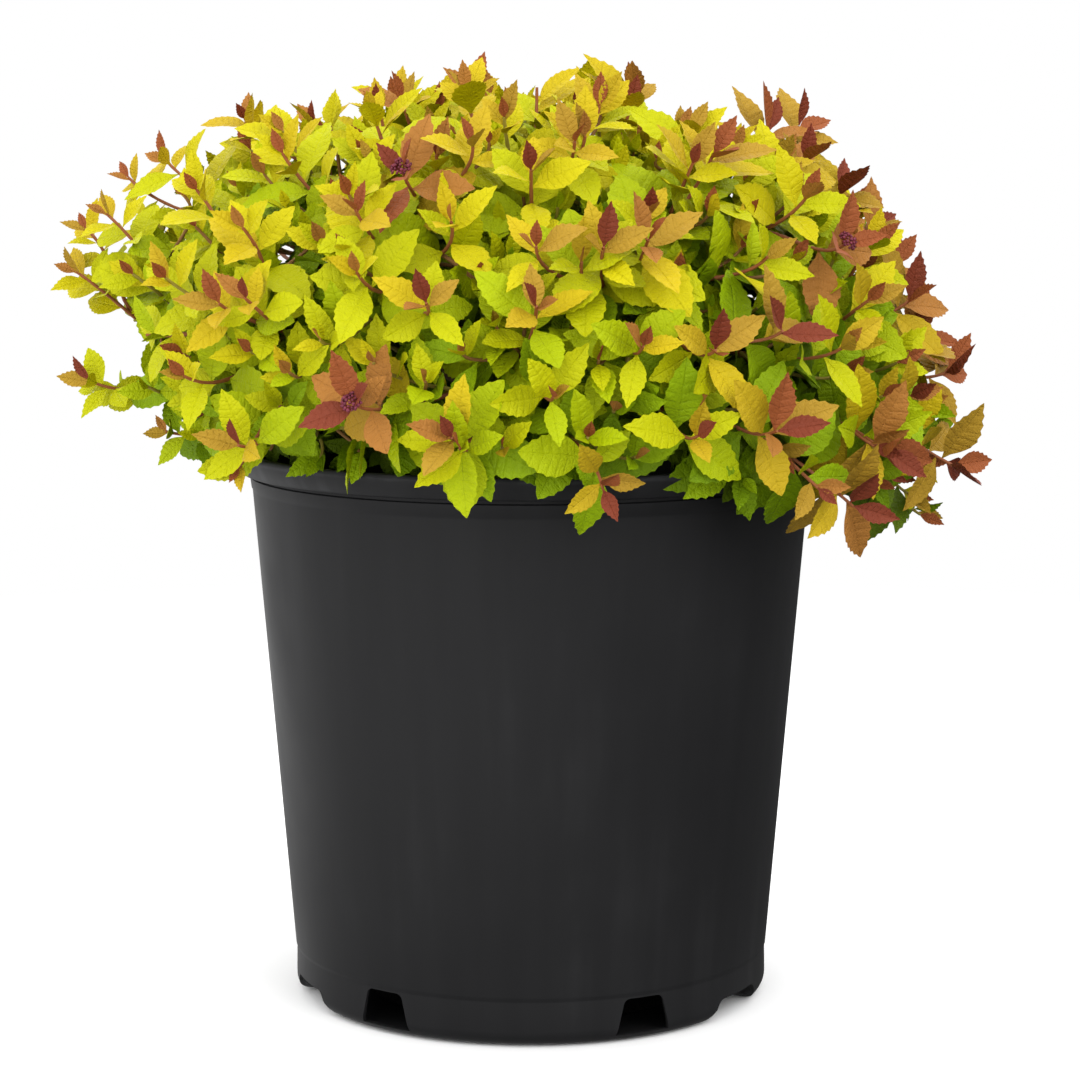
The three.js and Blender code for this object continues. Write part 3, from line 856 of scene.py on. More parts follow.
def plan_shoots():
    draw = random_stream(SHOOTS["seed"])
    shoots = []
    for azimuth, elevation, share in LEADERS:
        aim = aimed(azimuth, elevation)
        shoots.append({"aim": aim, "length": share * reach(aim), "leads": True})
    room = math.cos(math.radians(SHOOTS["leader_room"]))
    for aim in spread(SHOOTS["count"], skirt):
        length = reach(aim) * (1 - CROWN["unevenness"] * draw())
        if not any(leader["aim"] @ aim > room for leader in shoots[: len(LEADERS)]):
            shoots.append({"aim": aim, "length": length, "leads": False})
    return shoots


def tilted(aim, degrees):
    azimuth = math.atan2(aim[1], aim[0])
    return direction(azimuth, min(math.asin(aim[2]) + math.radians(degrees), math.pi / 2))


class Curve:
    """A cubic curve, sampled evenly along its length."""

    def __init__(self, start, heading, end, arrival, samples=25):
        third = np.linalg.norm(end - start) / 3
        a, b, c, d = start, start + heading * third, end - arrival * third, end
        t = np.linspace(0, 1, 60)[:, None]
        dense = a * (1 - t) ** 3 + 3 * b * t * (1 - t) ** 2 + 3 * c * t * t * (1 - t) + d * t**3
        run = np.concatenate([[0], np.cumsum(np.linalg.norm(np.diff(dense, axis=0), axis=1))])
        self.length = run[-1]
        even = np.linspace(0, self.length, samples)
        self.points = np.stack([np.interp(even, run, dense[:, i]) for i in range(3)], axis=1)

    def cut_back(self, count):
        """Keeps only so many of its steps."""
        self.length *= count / (len(self.points) - 1)
        self.points = self.points[: count + 1]

    def at(self, share):
        """The point and the heading at a share of the length."""
        place = within(0.0, share, 1.0) * (len(self.points) - 1)
        index = min(int(place), len(self.points) - 2)
        step = self.points[index + 1] - self.points[index]
        return self.points[index] + step * (place - index), unit(step)


def bough_curve(axis):
    start, end = tilted(axis, BOUGH["droop"]), tilted(axis, -BOUGH["droop"])
    return Curve(FORK + start * (KNOB + GAP), start, FORK + axis * BOUGH["share"] * reach(axis), end)


def plan_boughs(shoots):
    axes = spread(BOUGH["count"], lambda azimuth: math.radians(BOUGH["lowest"]))
    boughs = [{"axis": axis, "curve": bough_curve(axis), "shoots": []} for axis in axes]
    for shoot in shoots:
        nearest = max(boughs, key=lambda bough: bough["axis"] @ shoot["aim"])
        nearest["shoots"].append(shoot)
    return boughs


shoots = plan_shoots()
boughs = plan_boughs(shoots)
print("planned:", len(shoots), "shoots on", len(boughs), "boughs")

# %% [markdown]
# ## Twigs, carried on finer
#
# Each mass has one stem, from which its other shoots branch. Real shoots branch again, so side twigs
# follow by the same rule: a finer golden spread of directions, each served by the nearest shoot. A
# few more end in the large red rosettes that a spirea holds up to the light, and short ones close
# the crown's foot over the rim.

# %% Where side twigs go
# The showiest rosettes, on the front and along the dome's outline: azimuth, elevation, share of reach.
ROSETTES = [
    (-89, 30, 1.0),
    (-134, 20, 1.0),
    (-117, 34, 1.0),
    (-112, 41, 1.0),
    (-79, 30, 1.0),
    (-101, 47, 1.0),
    (-81, 48, 1.0),
    (-53, 45, 1.0),
    (-53, 18, 1.0),
    (-35, 29, 1.0),
    (-34, 1, 1.0),
    (-72, 31, 1.0),
    (-104, 22, 1.0),
    (-100, 5, 1.0),
    (-129, 3, 1.0),
    (-41, -6, 1.0),
    (1, 49, 1.07),
    (180, 69, 0.96),
    (0, 38, 1.0),
    (2, 25, 0.99),
    (-3, 14.5, 0.98),
    (180, 25, 1.02),
    (177, 32.5, 1.02),
    (179, 48, 1.0),
]
IN_BUD = [(-113, 9), (-112, 41), (-35, 29)]  # the rosettes with flower buds
# Short twigs that fill in over the front of the rim: azimuth, elevation, share of reach.
FRINGE = [
    (-140, 1, 0.76),
    (-131, 0, 0.73),
    (-122, 2, 0.75),
    (-113, 0.5, 0.74),
    (-105, 2, 0.72),
    (-97, 0, 0.75),
    (-88, 2, 0.74),
    (-70, 0, 0.73),
    (-60, 1, 0.74),
]
# A few just inside the rim on the left, where the leaves close the view into the pot.
INNER_FRINGE = [
    (-154, 1, 0.65),
    (-146, -0.5, 0.66),
    (-138, 1, 0.67),
    (-130, -0.5, 0.66),
    (-122, 1, 0.67),
    (-114, -0.5, 0.67),
]
# Where the crown stays open, seen from the front: ranges of x, then of height, in mm. Only leading
# shoots cross these windows, and the others stop where they meet one.
OPEN_SKY = [
    (-212, -158, 262, 293),
    (-176, -140, 236, 254),
    (-212, -170, 190, 240),
    (-170, -119, 190, 228),
    (-19, 18, 386, 410),
    (48, 62, 371, 410),
    (62, 80, 378, 410),
    (80, 92, 371, 410),
    (-107, -82, 377, 410),
    (112, 140, 180, 216),
    (160, 212, 170, 200),
]
# Small gaps that no leaf covers: x, height and radius on the plane y = 0. Most show the sky right
# through the crown, and the last two keep the rim's left end clear.
PEEPHOLES = [
    (-80.6, 352.5, 3.2),
    (-103.6, 315.6, 2.8),
    (-75.0, 374.5, 3.0),
    (83.2, 338.9, 2.2),
    (86.2, 344.9, 1.8),
    (103.3, 323.5, 2.6),
    (95.2, 295.1, 2.4),
    (42.2, 290.4, 2.4),
    (24.8, 363.2, 2.6),
    (136.9, 307.6, 2.6),
    (-152.5, 338.0, 4.0),
    (-115.6, 223.9, 3.0),
    (-109.1, 222.2, 3.0),
]
HOLES = np.array(PEEPHOLES)
EYE_MM = np.array(EYE) / MM


def in_open_sky(point):
    return any(x0 < point[0] < x1 and z0 < point[2] < z1 for x0, x1, z0, z1 in OPEN_SKY)


def in_peephole(points):
    """Whether any point hides a small gap from the eye."""
    ahead = points[:, 1] - EYE_MM[1]
    seen = EYE_MM + (points - EYE_MM) * (-EYE_MM[1] / ahead)[:, None]
    away = np.hypot(seen[:, None, 0] - HOLES[:, 0], seen[:, None, 2] - HOLES[:, 1])
    return bool((away < HOLES[:, 2]).any())


print("kept open:", len(OPEN_SKY), "windows and", len(PEEPHOLES), "peepholes")

# %% Twig curves
TWIG = {
    "stem": 1.5,
    "radius": 1.15,
    "tip": 0.6,
    "knot": 0.16,  # share by which a twig swells at a leaf joint
    "forks": (0.08, 0.5),
    "lift": 0.3,
    "hang": 0.9,
    "bends_below": 1.7,  # degrees above level
}
SIDE = {
    "count": 470,
    "room": 4.0,  # degrees that every shoot keeps to itself
    "forks": (0.28, 0.62),
    "along": 0.8,  # by how much a side twig leaves along its parent
    "reach": (0.8, 0.96),
    "radius": 0.9,
    "seed": 611,
}
TIP_ROOM = 12  # a twig ends this far inside the reach, and its last leaves make it up
LEADS_FROM = 0.9  # share of reach from which a placed twig counts as a leading one


def hangs(aim):
    return aim[2] < math.sin(math.radians(BOUGH["lowest"]) / 2)


def arrival_of(aim):
    """Shoots above level turn up to the light, and the others bend down over the rim."""
    bends = aim[2] < math.sin(math.radians(TWIG["bends_below"]))
    return unit(aim + UP * (-TWIG["hang"] * (1 - 0.5 * aim[0]) if bends else TWIG["lift"]))


def branch(shoot, point, off, radius, order):
    """A twig that leaves a point towards one side and ends where its shoot does."""
    end = FORK + shoot["aim"] * (shoot["length"] - TIP_ROOM)
    heading = off(unit(end - point))
    curve = Curve(point, heading, end, arrival_of(shoot["aim"]))
    return {**shoot, "curve": curve, "radius": radius, "order": order}


def twigs_of(bough):
    """The mass's stem and the shoots that branch from it."""

    def rank(shoot):
        return bough["axis"] @ shoot["aim"] - (1 if hangs(shoot["aim"]) else 0)

    inner, *rest = sorted(bough["shoots"], key=rank, reverse=True)
    start, heading = bough["curve"].at(1.0)
    stem = branch(inner, start + heading * GAP, lambda ahead: heading, TWIG["stem"], 0)
    made = [stem]
    for i, shoot in enumerate(rest):
        at = mix(TWIG["forks"][1], TWIG["forks"][0], i / max(1, len(rest) - 1))
        point, tangent = stem["curve"].at(at)
        made.append(branch(shoot, point, lambda ahead: unit(ahead + tangent), TWIG["radius"], 1))
    return made


def placed(rows):
    """Shoots from rows of azimuth, elevation and share of reach."""
    made = []
    for azimuth, elevation, share in rows:
        aim = aimed(azimuth, elevation)
        made.append({"aim": aim, "length": share * reach(aim), "leads": share > LEADS_FROM})
    return made


def side_shoots():
    """The rosettes and the fringe first, then a finer even spread between the shoots."""
    draw = random_stream(SIDE["seed"])
    made = placed(ROSETTES + FRINGE)
    taken = [shoot["aim"] for shoot in shoots + made]
    near = math.cos(math.radians(SIDE["room"]))
    for aim in spread(SIDE["count"], skirt):
        share = mix(*SIDE["reach"], draw())
        if not any(aim @ other > near for other in taken):
            made.append({"aim": aim, "length": share * reach(aim), "leads": False})
    return made


def side_twigs(side, parents, seed):
    draw = random_stream(seed)
    made = []
    for shoot in side:
        parent = max(parents, key=lambda twig: twig["aim"] @ shoot["aim"])
        point, tangent = parent["curve"].at(mix(*SIDE["forks"], draw()))
        along = SIDE["along"] * tangent
        made.append(branch(shoot, point, lambda ahead: unit(ahead + along), SIDE["radius"], 2))
    return made


def stop_at_sky(twig):
    """Cuts a twig back to two steps before it meets a window of open sky."""
    path = twig["curve"].points
    met = next((i for i, point in enumerate(path) if in_open_sky(point)), len(path))
    if met < len(path) and not twig["leads"]:
        twig["curve"].cut_back(max(3, met - 2))


parents = [twig for bough in boughs for twig in twigs_of(bough)]
twigs = parents + side_twigs(side_shoots(), parents, SIDE["seed"] + 1)
twigs += side_twigs(placed(INNER_FRINGE), parents, SIDE["seed"] + 2)
for twig in twigs:
    stop_at_sky(twig)
in_bud = [max(twigs, key=lambda twig: twig["aim"] @ aimed(*place)) for place in IN_BUD]
print("twigs:", len(twigs), "of which side twigs:", sum(twig["order"] == 2 for twig in twigs))

# %% [markdown]
# Twigs are tubes that follow a path, which Geometry Nodes make from edges alone: the path becomes a
# curve, a small ring is swept along it, and the ring's size comes from an attribute on the path. The
# twig swells a little at each leaf joint. Young wood is red-brown at the tips' end and olive further
# in, so the twigs are dealt out to three plain colours.

# %% Twig meshes
POT_ROOM = 1.2  # clearance that twigs and leaves keep to the rim
TWIG_SIDES = 6
BARKS = {"red": (142, 82, 46), "brown": (136, 96, 50), "olive": (140, 126, 46)}


def in_pot(points):
    """Whether any point lies in the rim or the wall, or under the mix's skin."""
    points = np.atleast_2d(points)
    radius = np.hypot(points[:, 0], points[:, 1])
    height = points[:, 2]
    outside = POT["rim_radius"] + POT_ROOM
    inside = POT["neck_radius"] - POT["wall"] - POT_ROOM
    wall = (radius < outside) & (radius > inside) & (height < POT["height"] + POT_ROOM)
    fill_skin = (radius <= inside) & (height < MIX["level"] + POT_ROOM)
    return bool((wall | fill_skin).any())


def twig_tree():
    tree = Tree("swept_twigs", Sides="Int", Material="Material")
    path = tree.out("GeometryNodeMeshToCurve", tree.start["Geometry"])
    sized = tree.out("GeometryNodeSetCurveRadius", Curve=path, Radius=tree.attribute("size"))
    ring = tree.out("GeometryNodeCurvePrimitiveCircle", Resolution=tree.start["Sides"], Radius=1.0)
    swept = tree.node("GeometryNodeCurveToMesh", Curve=sized, Profile_Curve=ring, Fill_Caps=True)
    if "Scale" in swept.inputs:
        tree.links.new(tree.out("GeometryNodeInputRadius"), swept.inputs["Scale"])
    return tree.finish(tree.out("GeometryNodeSetShadeSmooth", swept.outputs[0]))


def twig_bark(tint):
    made = Finish(f"bark_{tint}", BARKS[tint], 0.6, 0.35)
    ridges = made.noise(700.0, 3.0)
    made.feed("Roughness", made.between(ridges, 0.3, 0.7, 0.5, 0.75))
    made.bumps((ridges, 0.15, 0.6))
    return made.material


def sweep(tint, group):
    """One piece from a group of twigs: their paths as edges, with a size at each point."""
    points, edges, sizes = [], [], []
    for twig in group:
        path = twig["curve"].points
        base = len(points)
        taper = mix(twig["radius"], TWIG["tip"], np.linspace(0, 1, len(path)))
        knots = 1 + TWIG["knot"] * (np.arange(len(path)) % 2)
        points += path.tolist()
        edges += [(base + i, base + i + 1) for i in range(len(path) - 1)]
        sizes += (taper * knots * MM).tolist()
    obj = link(marked(f"twigs_{tint}", points, edges, size=sizes))
    settle(obj, twig_tree(), Sides=TWIG_SIDES, Material=twig_bark(tint))
    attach(obj, "root")
    return obj


twigs = [twig for twig in twigs if not in_pot(twig["curve"].points)]
dealt = {tint: [] for tint in BARKS}
for index, twig in enumerate(twigs):
    tint = "red" if twig["leads"] or twig["order"] == 1 else ("brown", "olive")[index % 2]
    dealt[tint].append(twig)
for tint, group in dealt.items():
    print(f"twigs_{tint}:", len(group), "twigs,", triangles(sweep(tint, group)), "triangles")

# %% [markdown]
# ## Old wood
#
# The short main stem and the boughs have true bark: shallow fissures that run along the limb, and
# rings where older twigs left it. A swept tube with a displaced skin gives that relief as geometry,
# because the limb is seen close from above, between the leaves.

# %% Bark skin
STEM = {
    "foot": 212.3,
    "flare": 19,
    "waist": 10.5,
    "flare_height": 7,
    "flutes": 5,
    "flute_depth": 0.1,
    "lean": (-5.0, 3.0),
    "sides": 72,
    "rings": 70,
    "fissure": 0.07,
}
LIMB = {"steps": 36, "sides": 14, "fissure": 0.1, "scars": 9, "scar": 0.08}
GRAIN = {"across": 2.2, "along": 0.03, "scale": 1.7, "fine": 0.35}


def relief_at(spot, out):
    """The bark's height: long fissures, and small pits over them."""
    grain = Vector((*out[:2] * GRAIN["across"], out[2] * GRAIN["across"] + spot[2] * GRAIN["along"]))
    pits = noise.noise(Vector(spot) * GRAIN["fine"])
    return noise.fractal(grain * GRAIN["scale"], 1.0, 2.1, 3) + 0.5 * pits


def skin_rings(rings, sides, fissure):
    """Points and faces of a closed skin through rings of (centre, side axis, other axis, radius)."""
    points = []
    for centre, across, other, radius in rings:
        for angle in np.arange(sides) * TURN / sides:
            out = across * math.cos(angle) + other * math.sin(angle)
            spot = centre + out * radius
            points.append(spot + out * relief_at(spot, out) * fissure * radius)
    faces = quads_between(len(rings), sides)
    faces.append(tuple(range(sides))[::-1])
    faces.append(tuple(range((len(rings) - 1) * sides, len(rings) * sides)))
    return np.array(points), faces


def limb_rings(curve):
    """Rings along a bough, each square to it, none twisted against the last."""
    rings = []
    across = unit(np.cross(curve.at(0)[1], [0.3, 0.9, 0.1]))
    for share in np.linspace(0, 1, LIMB["steps"] + 1):
        point, heading = curve.at(share)
        across = unit(across - heading * (across @ heading))
        scar = 1 + LIMB["scar"] * math.cos(share * LIMB["scars"] * TURN) ** 8
        radius = mix(BOUGH["base"], BOUGH["tip"], share) * scar
        rings.append((point, across, np.cross(heading, across), radius))
    return rings


def stem_radius(height):
    """The stem's radius: root flare, waist, and the knob that the boughs leave."""
    waist_top = FORK[2] - KNOB * math.sin(math.radians(50))
    if height < STEM["foot"] + STEM["flare_height"]:
        share = (height - STEM["foot"]) / STEM["flare_height"]
        return mix(STEM["flare"], STEM["waist"], math.sin(share * math.pi / 2))
    if height < waist_top:
        return STEM["waist"]
    return math.sqrt(max(0.04, KNOB**2 - (height - FORK[2]) ** 2))


def stem_skin():
    """The stem leans and is fluted at its foot, and both fade out towards the knob."""
    span, sides = FORK[2] - KNOB - STEM["foot"], STEM["sides"]
    rings, lows = [], []
    for height in np.linspace(STEM["foot"], FORK[2] + KNOB - 0.02, STEM["rings"]):
        low = within(0.0, 1 - (height - STEM["foot"]) / span, 1.0)
        centre = np.array([STEM["lean"][0] * low, STEM["lean"][1] * low, height])
        rings.append((centre, np.array([1.0, 0, 0]), np.array([0, 1.0, 0]), stem_radius(height)))
        lows.append(low)
    points, faces = skin_rings(rings, sides, STEM["fissure"])
    for i, ((centre, *_), low) in enumerate(zip(rings, lows)):
        for j in range(sides):
            flute = 1 + STEM["flute_depth"] * low * math.cos(STEM["flutes"] * j * TURN / sides)
            point = points[i * sides + j]
            point[:2] = centre[:2] + (point[:2] - centre[:2]) * flute
            point[2] = max(centre[2], STEM["foot"])
    return points, faces


def old_bark():
    made = Finish("old_bark", (96, 70, 50), 0.85, 0.25)
    fibres = made.noise(1.0, 5.0, made.stretched((420, 420, 90)))
    made.colours(fibres, (0.3, (58, 40, 28)), (0.55, (104, 76, 54)), (0.8, (146, 116, 84)))
    made.bumps((fibres, 0.5, 0.8))
    return made.material


def build_wood():
    parts = [stem_skin()]
    parts += [skin_rings(limb_rings(b["curve"]), LIMB["sides"], LIMB["fissure"]) for b in boughs]
    points, faces = [], []
    for part_points, part_faces in parts:
        faces += [[len(points) + corner for corner in face] for face in part_faces]
        points += part_points.tolist()
    wood = piece("old_wood", points, faces)
    wood.data.materials.append(old_bark())
    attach(wood, "root")
    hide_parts("main_stem", *[f"bough_{i + 1:02d}" for i in range(len(boughs))])
    return wood


wood = build_wood()
print("old wood:", triangles(wood), "triangles")

# %% [markdown]
# ## Leaf shapes
#
# A spirea leaf is a pointed oval, saw-toothed along its outer two thirds, folded at the midrib and
# quilted between the side veins. Some sixty faces give all of that. A few shapes, from the broad
# lower leaf to the narrow one at a shoot's tip, are enough, since each copy has its own size and
# turn. The UV layer holds the place on the blade, so that veins can follow it.

# %% Leaf meshes
TEETH = 8  # on each side
STATIONS = 2 * TEETH  # rows across the blade, at a tooth and between two teeth by turns
LEAF_KINDS = {  # width and widest place as shares of the length, tip, fold, curl, wave
    "broad": (0.64, 0.48, 0.8, 0.16, 0.16, 0.6),
    "oval": (0.58, 0.47, 0.85, 0.26, 0.12, -0.6),
    "drooping": (0.60, 0.47, 0.85, 0.20, 0.32, 0.5),
    "long": (0.50, 0.45, 0.95, 0.32, 0.18, -0.7),
    "rosette": (0.45, 0.43, 1.1, 0.36, 0.12, 0.5),
    "tip": (0.42, 0.42, 1.2, 0.60, -0.08, 0.2),
}
KIND = {kind: index for index, kind in enumerate(LEAF_KINDS)}
STALK = 0.07
TOOTH = {"out": 0.009, "notch": -0.011, "forward": 0.022}
QUILT = {"rib": -0.016, "cushion": 0.018}  # relief at a side vein and between two
VEINS = (0.0, 0.52, 1.0)  # the midrib, the middle of a half blade, and its edge
SLANT = 0.09  # by how much the side veins run forward


def blade_point(shape, along, side, out, toothed):
    """A point by place along the blade, side, and share from the midrib to the edge."""
    width, widest, pointed, fold, curl, wave = shape
    share = along / widest if along < widest else (1 - along) / (1 - widest)
    half = 0.5 * width * math.sin(math.pi / 2 * share) ** (0.9 if along < widest else pointed)
    tooth = within(0.0, (along - 0.2) / 0.2, 1.0) * min(1.0, (1 - along) / 0.2)
    y = half * out + (TOOTH["out"] if toothed else TOOTH["notch"]) * tooth * out**4
    forward = TOOTH["forward"] * tooth * out if toothed else 0.0
    x = STALK + (1 - STALK) * along + forward
    quilt = QUILT["rib" if toothed else "cushion"] * math.sin(math.pi * along)
    ripple = 0.02 * wave * math.sin(3.2 * math.pi * along) * out
    z = fold * y * (1 - 0.25 * out) + (quilt if 0.2 < out < 0.9 else 0.0) + ripple * side - curl * x * x
    return [x, side * y, z]


def blade_faces():
    """Four quads between each two rows, and four triangles at each end."""
    tip = 1 + 5 * (STATIONS - 1)
    faces = []
    for s in range(1, STATIONS - 1):
        a, b = 1 + 5 * (s - 1), 1 + 5 * s
        faces += [(a, b, b + 1, a + 1), (a + 1, b + 1, b + 2, a + 2)]
        faces += [(a + 3, b + 3, b, a), (a + 4, b + 4, b + 3, a + 3)]
    first, last = 1, tip - 5
    faces += [(0, first, first + 1), (0, first + 1, first + 2)]
    faces += [(0, first + 3, first), (0, first + 4, first + 3)]
    faces += [(tip, last + 1, last), (tip, last + 2, last + 1)]
    faces += [(tip, last, last + 3), (tip, last + 3, last + 4)]
    return faces


def leaf_mesh(name, shape):
    """A blade along +X with its upper face to +Z, one unit long from its root."""
    points, places = [[0.0, 0.0, 0.0]], [(0.0, 0.0)]
    for s in range(1, STATIONS):
        along, toothed = s / STATIONS, s % 2 == 1
        slant = SLANT * math.sin(math.pi * along)
        points.append(blade_point(shape, max(0.01, along - slant), 1, VEINS[0], toothed))
        for side in (1, -1):
            points.append(blade_point(shape, max(0.02, along - slant / 2), side, VEINS[1], toothed))
            points.append(blade_point(shape, along, side, VEINS[2], toothed))
        places += [(across, along) for across in (0.0, VEINS[1], 1.0, -VEINS[1], -1.0)]
    points.append([1.0, 0.0, -shape[4]])
    places.append((0.0, 1.0))
    mesh = bpy.data.meshes.new(name)
    mesh.from_pydata(points, [], blade_faces())
    mesh.polygons.foreach_set("use_smooth", [True] * len(mesh.polygons))
    blade = mesh.uv_layers.new(name="blade")
    for loop in mesh.loops:
        blade.data[loop.index].uv = places[loop.vertex_index]
    return mesh


leaf_shapes = bpy.data.collections.new("leaf_shapes")
for index, (kind, sizes) in enumerate(LEAF_KINDS.items()):
    shape = bpy.data.objects.new(f"leaf_{index}_{kind}", leaf_mesh(f"leaf_{kind}", sizes))
    leaf_shapes.objects.link(shape)

# %% [markdown]
# ## Growing the leaves
#
# Leaves leave a shoot by the golden angle. They crowd at its tip, small, narrow and dark red, and
# stand apart lower down, large, broad and lime. So one number, the leaf's count from the tip, settles
# size, shape, opening and colour, with a seeded play on each. On a leading shoot the tip leaves
# spread like a star. The deeper a leaf sits under the dome's skin, the lower it hangs, and the further
# right it stands, the greener and darker its tint. Part of that is the real greening of shaded leaves,
# and part is painted shade. At the sides and on top the leaves also turn their faces forward.

# %% Leaf sizes and tints
LEAF = {
    "longest": 25.5,
    "most": 31,
    "shortest": 12,
    "tuft": 14,  # the shortest in the rosette of a leading shoot
    "sunny_tuft": 7,  # by how much it grows towards the right, where the light reddens the crown
    "bud_tuft": 6,  # by how much it grows round flower buds
    "grown_at": 5,  # leaves from the tip to the first full-grown one
    "joint": (1.4, 5.5),  # distance between leaves at the tip and lower down
    "crowded": {True: 9, False: 6},  # leaves over which the joints lengthen, on leading shoots or not
    "opening": (12, 72),  # degrees between the leaf and its shoot
    "star": (30, 78),  # the same in a rosette
    "unlike": 0.5,  # by how much neighbours differ in size
    "sway": 16,  # degrees by which they differ in opening
    "roll": 0.5,  # radians
    "lift": 0.22,
    "skyward": 0.35,
    "frontward": 1.3,  # by how much leaves at the sides turn their faces to the front
    "overhead": 0.6,  # the share of that on top
    "at_front": 0.35,  # how far to the front a shoot has to point to keep its star free
    "in_star": 4,  # leaves from a rosette's tip that may stand before its twig
    "in_sky": 3,  # leaves from a leading shoot's tip that may cross the windows of open sky
    "past": (1.5, 2),  # mm past the reach that a leaf may get, and more on leading shoots
    "bare": (0.10, 0.16, 0.12),  # share of a twig without leaves, by its order
    "half": 0.22,  # half a blade's width as a share of its length
    "tries": 13,
    "step": 0.45,  # radians by which a leaf turns from one try to the next
    "seed": 90210,
}
VIGOUR = {"least": 0.92, "play": 0.2, "side": 0.88, "right": {True: 0.18, False: 0.1}}
REDNESS = {
    "play": 0.65,
    "right": 0.3,
    "side": -0.35,
    "lead": 1.25,
    "sun": 2.2,  # gained by leading shoots on the right
    "shade": 0.9,  # lost by them on the left
    "overhead": 0.7,  # share by which both fade overhead
    "bud": 4.8,
}
UNRIPE = {"within": 0.88, "leaves": 4.5}  # side twigs inside this share of reach have no red tips
YOUNG = {"start": 0.42, "pace": 2.1, "slowest": 0.45, "ends": 5.5}  # places on the scale of tints
# Tints of grown leaves turn greener and darker deep under the skin, below the sunlit height and more so on
# the right: partly real greening, partly painted shade.
GROWN_AND_SHADED = {"from": 5.4, "most": 2.0, "skin": 14, "sunlit": 370, "lower": 80, "right": (1.2, 0.8)}
TINT_PLAY = 1.9
TINTS = {  # from the shoot's tip inwards
    "crimson": (121, 57, 38),
    "brick": (145, 80, 44),
    "rust": (160, 108, 48),
    "bronze": (164, 130, 40),
    "amber": (180, 153, 28),
    "gold": (188, 166, 20),
    "sunny": (187, 177, 9),
    "lime": (176, 178, 5),
    "bright": (159, 173, 5),
    "green": (134, 160, 8),
    "deep": (105, 132, 6),
    "shade": (78, 98, 6),
}


def manner_of(twig, draw):
    """What all leaves of a twig share."""
    right, forward, up = twig["aim"] * (1, -1, 1)
    leads, side_twig = twig["leads"], twig["order"] == 2
    redness = (REDNESS["side"] if side_twig else 0.0) + REDNESS["play"] * draw()
    redness += REDNESS["right"] * right
    vigour = VIGOUR["least"] + VIGOUR["play"] * draw()
    vigour *= VIGOUR["side"] if side_twig and not leads else 1.0
    vigour *= 1 + VIGOUR["right"][leads] * right
    shortest = LEAF["shortest"]
    if leads:
        sun, shade = max(0.0, right), max(0.0, -right)
        redness = REDNESS["sun"] * sun * sun - REDNESS["shade"] * shade
        redness = redness * (1 - REDNESS["overhead"] * up) + REDNESS["lead"]
        shortest = LEAF["tuft"] + LEAF["sunny_tuft"] * sun
    if any(twig is other for other in in_bud):
        redness, shortest = REDNESS["bud"], LEAF["tuft"] + LEAF["bud_tuft"]
    unripe = side_twig and twig["length"] <= UNRIPE["within"] * reach(twig["aim"])
    return {
        "redness": redness,
        "vigour": vigour,
        "shortest": shortest,
        "openings": LEAF["star"] if leads else LEAF["opening"],
        "turned": LEAF["frontward"] * max(abs(right), LEAF["overhead"] * up),
        "unripe": UNRIPE["leaves"] if unripe else 0,
        "star_shows": leads and forward > LEAF["at_front"],
        "first": TURN * draw(),
    }


def shape_for(count, pick):
    """Narrow leaves at the tip, longer ones after them, and broad ones lower down."""
    if count < 2:
        return KIND["tip"]
    if count < 5:
        return KIND["rosette"] if pick < 0.75 else KIND["long"]
    if count < 7:
        return KIND["long"] if pick < 0.5 else KIND["oval"]
    return (KIND["broad"], KIND["oval"], KIND["drooping"])[int(pick * 3)]


def tint_for(count, redness, depth, low, play):
    """A place on the scale of tints: red near the tip, greener and darker deep under the skin and low
    down, partly as painted shade.
    """
    young = (count + YOUNG["start"]) * YOUNG["pace"] / (YOUNG["slowest"] + max(0.05, redness))
    grown_and_shaded = GROWN_AND_SHADED["from"] + max(0.0, depth - GROWN_AND_SHADED["skin"]) / GROWN_AND_SHADED["skin"] + low
    scale = young if young < YOUNG["ends"] else grown_and_shaded
    return int(within(0, round(scale + TINT_PLAY * (play - 0.5)), len(TINTS) - 1))


def leaf_pose(tangent, aside, opening, roll, turned):
    """Axes of a leaf that opens to one side of its shoot and shows its face to the light."""
    aim = unit(tangent * math.cos(opening) + aside * math.sin(opening) + UP * LEAF["lift"])
    light = tangent + UP * LEAF["skyward"] + FRONT * turned
    across = unit(np.cross(light, aim))
    upper = np.cross(aim, across)
    across, upper = (
        across * math.cos(roll) + upper * math.sin(roll),
        upper * math.cos(roll) - across * math.sin(roll),
    )
    return np.column_stack([aim, across, upper])


print("tints:", ", ".join(TINTS))

# %% [markdown]
# Real leaves push past each other and don't cut through. So each new leaf is tested against those
# that stand already: the rim of the one must not pass through the blade of the other. The blades are
# taken as one plain cupped shape, which is near enough to all six.

# %% Leaves that would cut each other
CUP = {"curl": 0.15, "fold": 0.22}  # the mean shape of the blades
CROWD_ROOM = 8000  # leaves


def lift_of(x, y):
    """How far a blade stands off its flat frame, one unit long."""
    return CUP["fold"] * abs(y) - CUP["curl"] * x * x


def leaf_rim():
    """Nine places round a leaf's rim."""
    x = np.array([0.12, 0.35, 0.6, 0.85, 1.0, 0.85, 0.6, 0.35, 0.12])
    y = 0.26 * np.sin(math.pi * x) ** 0.8 * np.sign(np.arange(4, -5, -1))
    return np.column_stack([x, y, lift_of(x, y)])


RIM = leaf_rim()


def crossed(rims, frames, sizes):
    """Which rims pass through the blade of a leaf with this frame and size."""
    local = rims @ frames / sizes[:, None, None]
    above = local[..., 2] - lift_of(local[..., 0], local[..., 1])
    after = np.roll(above, -1, axis=1)
    share = above / np.where(above == after, 1.0, above - after)
    spot = local + (np.roll(local, -1, axis=1) - local) * share[..., None]
    x = np.clip(spot[..., 0], 0.0, 1.0)
    inside = (x > 0.12) & (x < 0.97) & (abs(spot[..., 1]) < 0.25 * np.sin(math.pi * x))
    return (inside & (share > 0) & (share < 1)).any(axis=1)


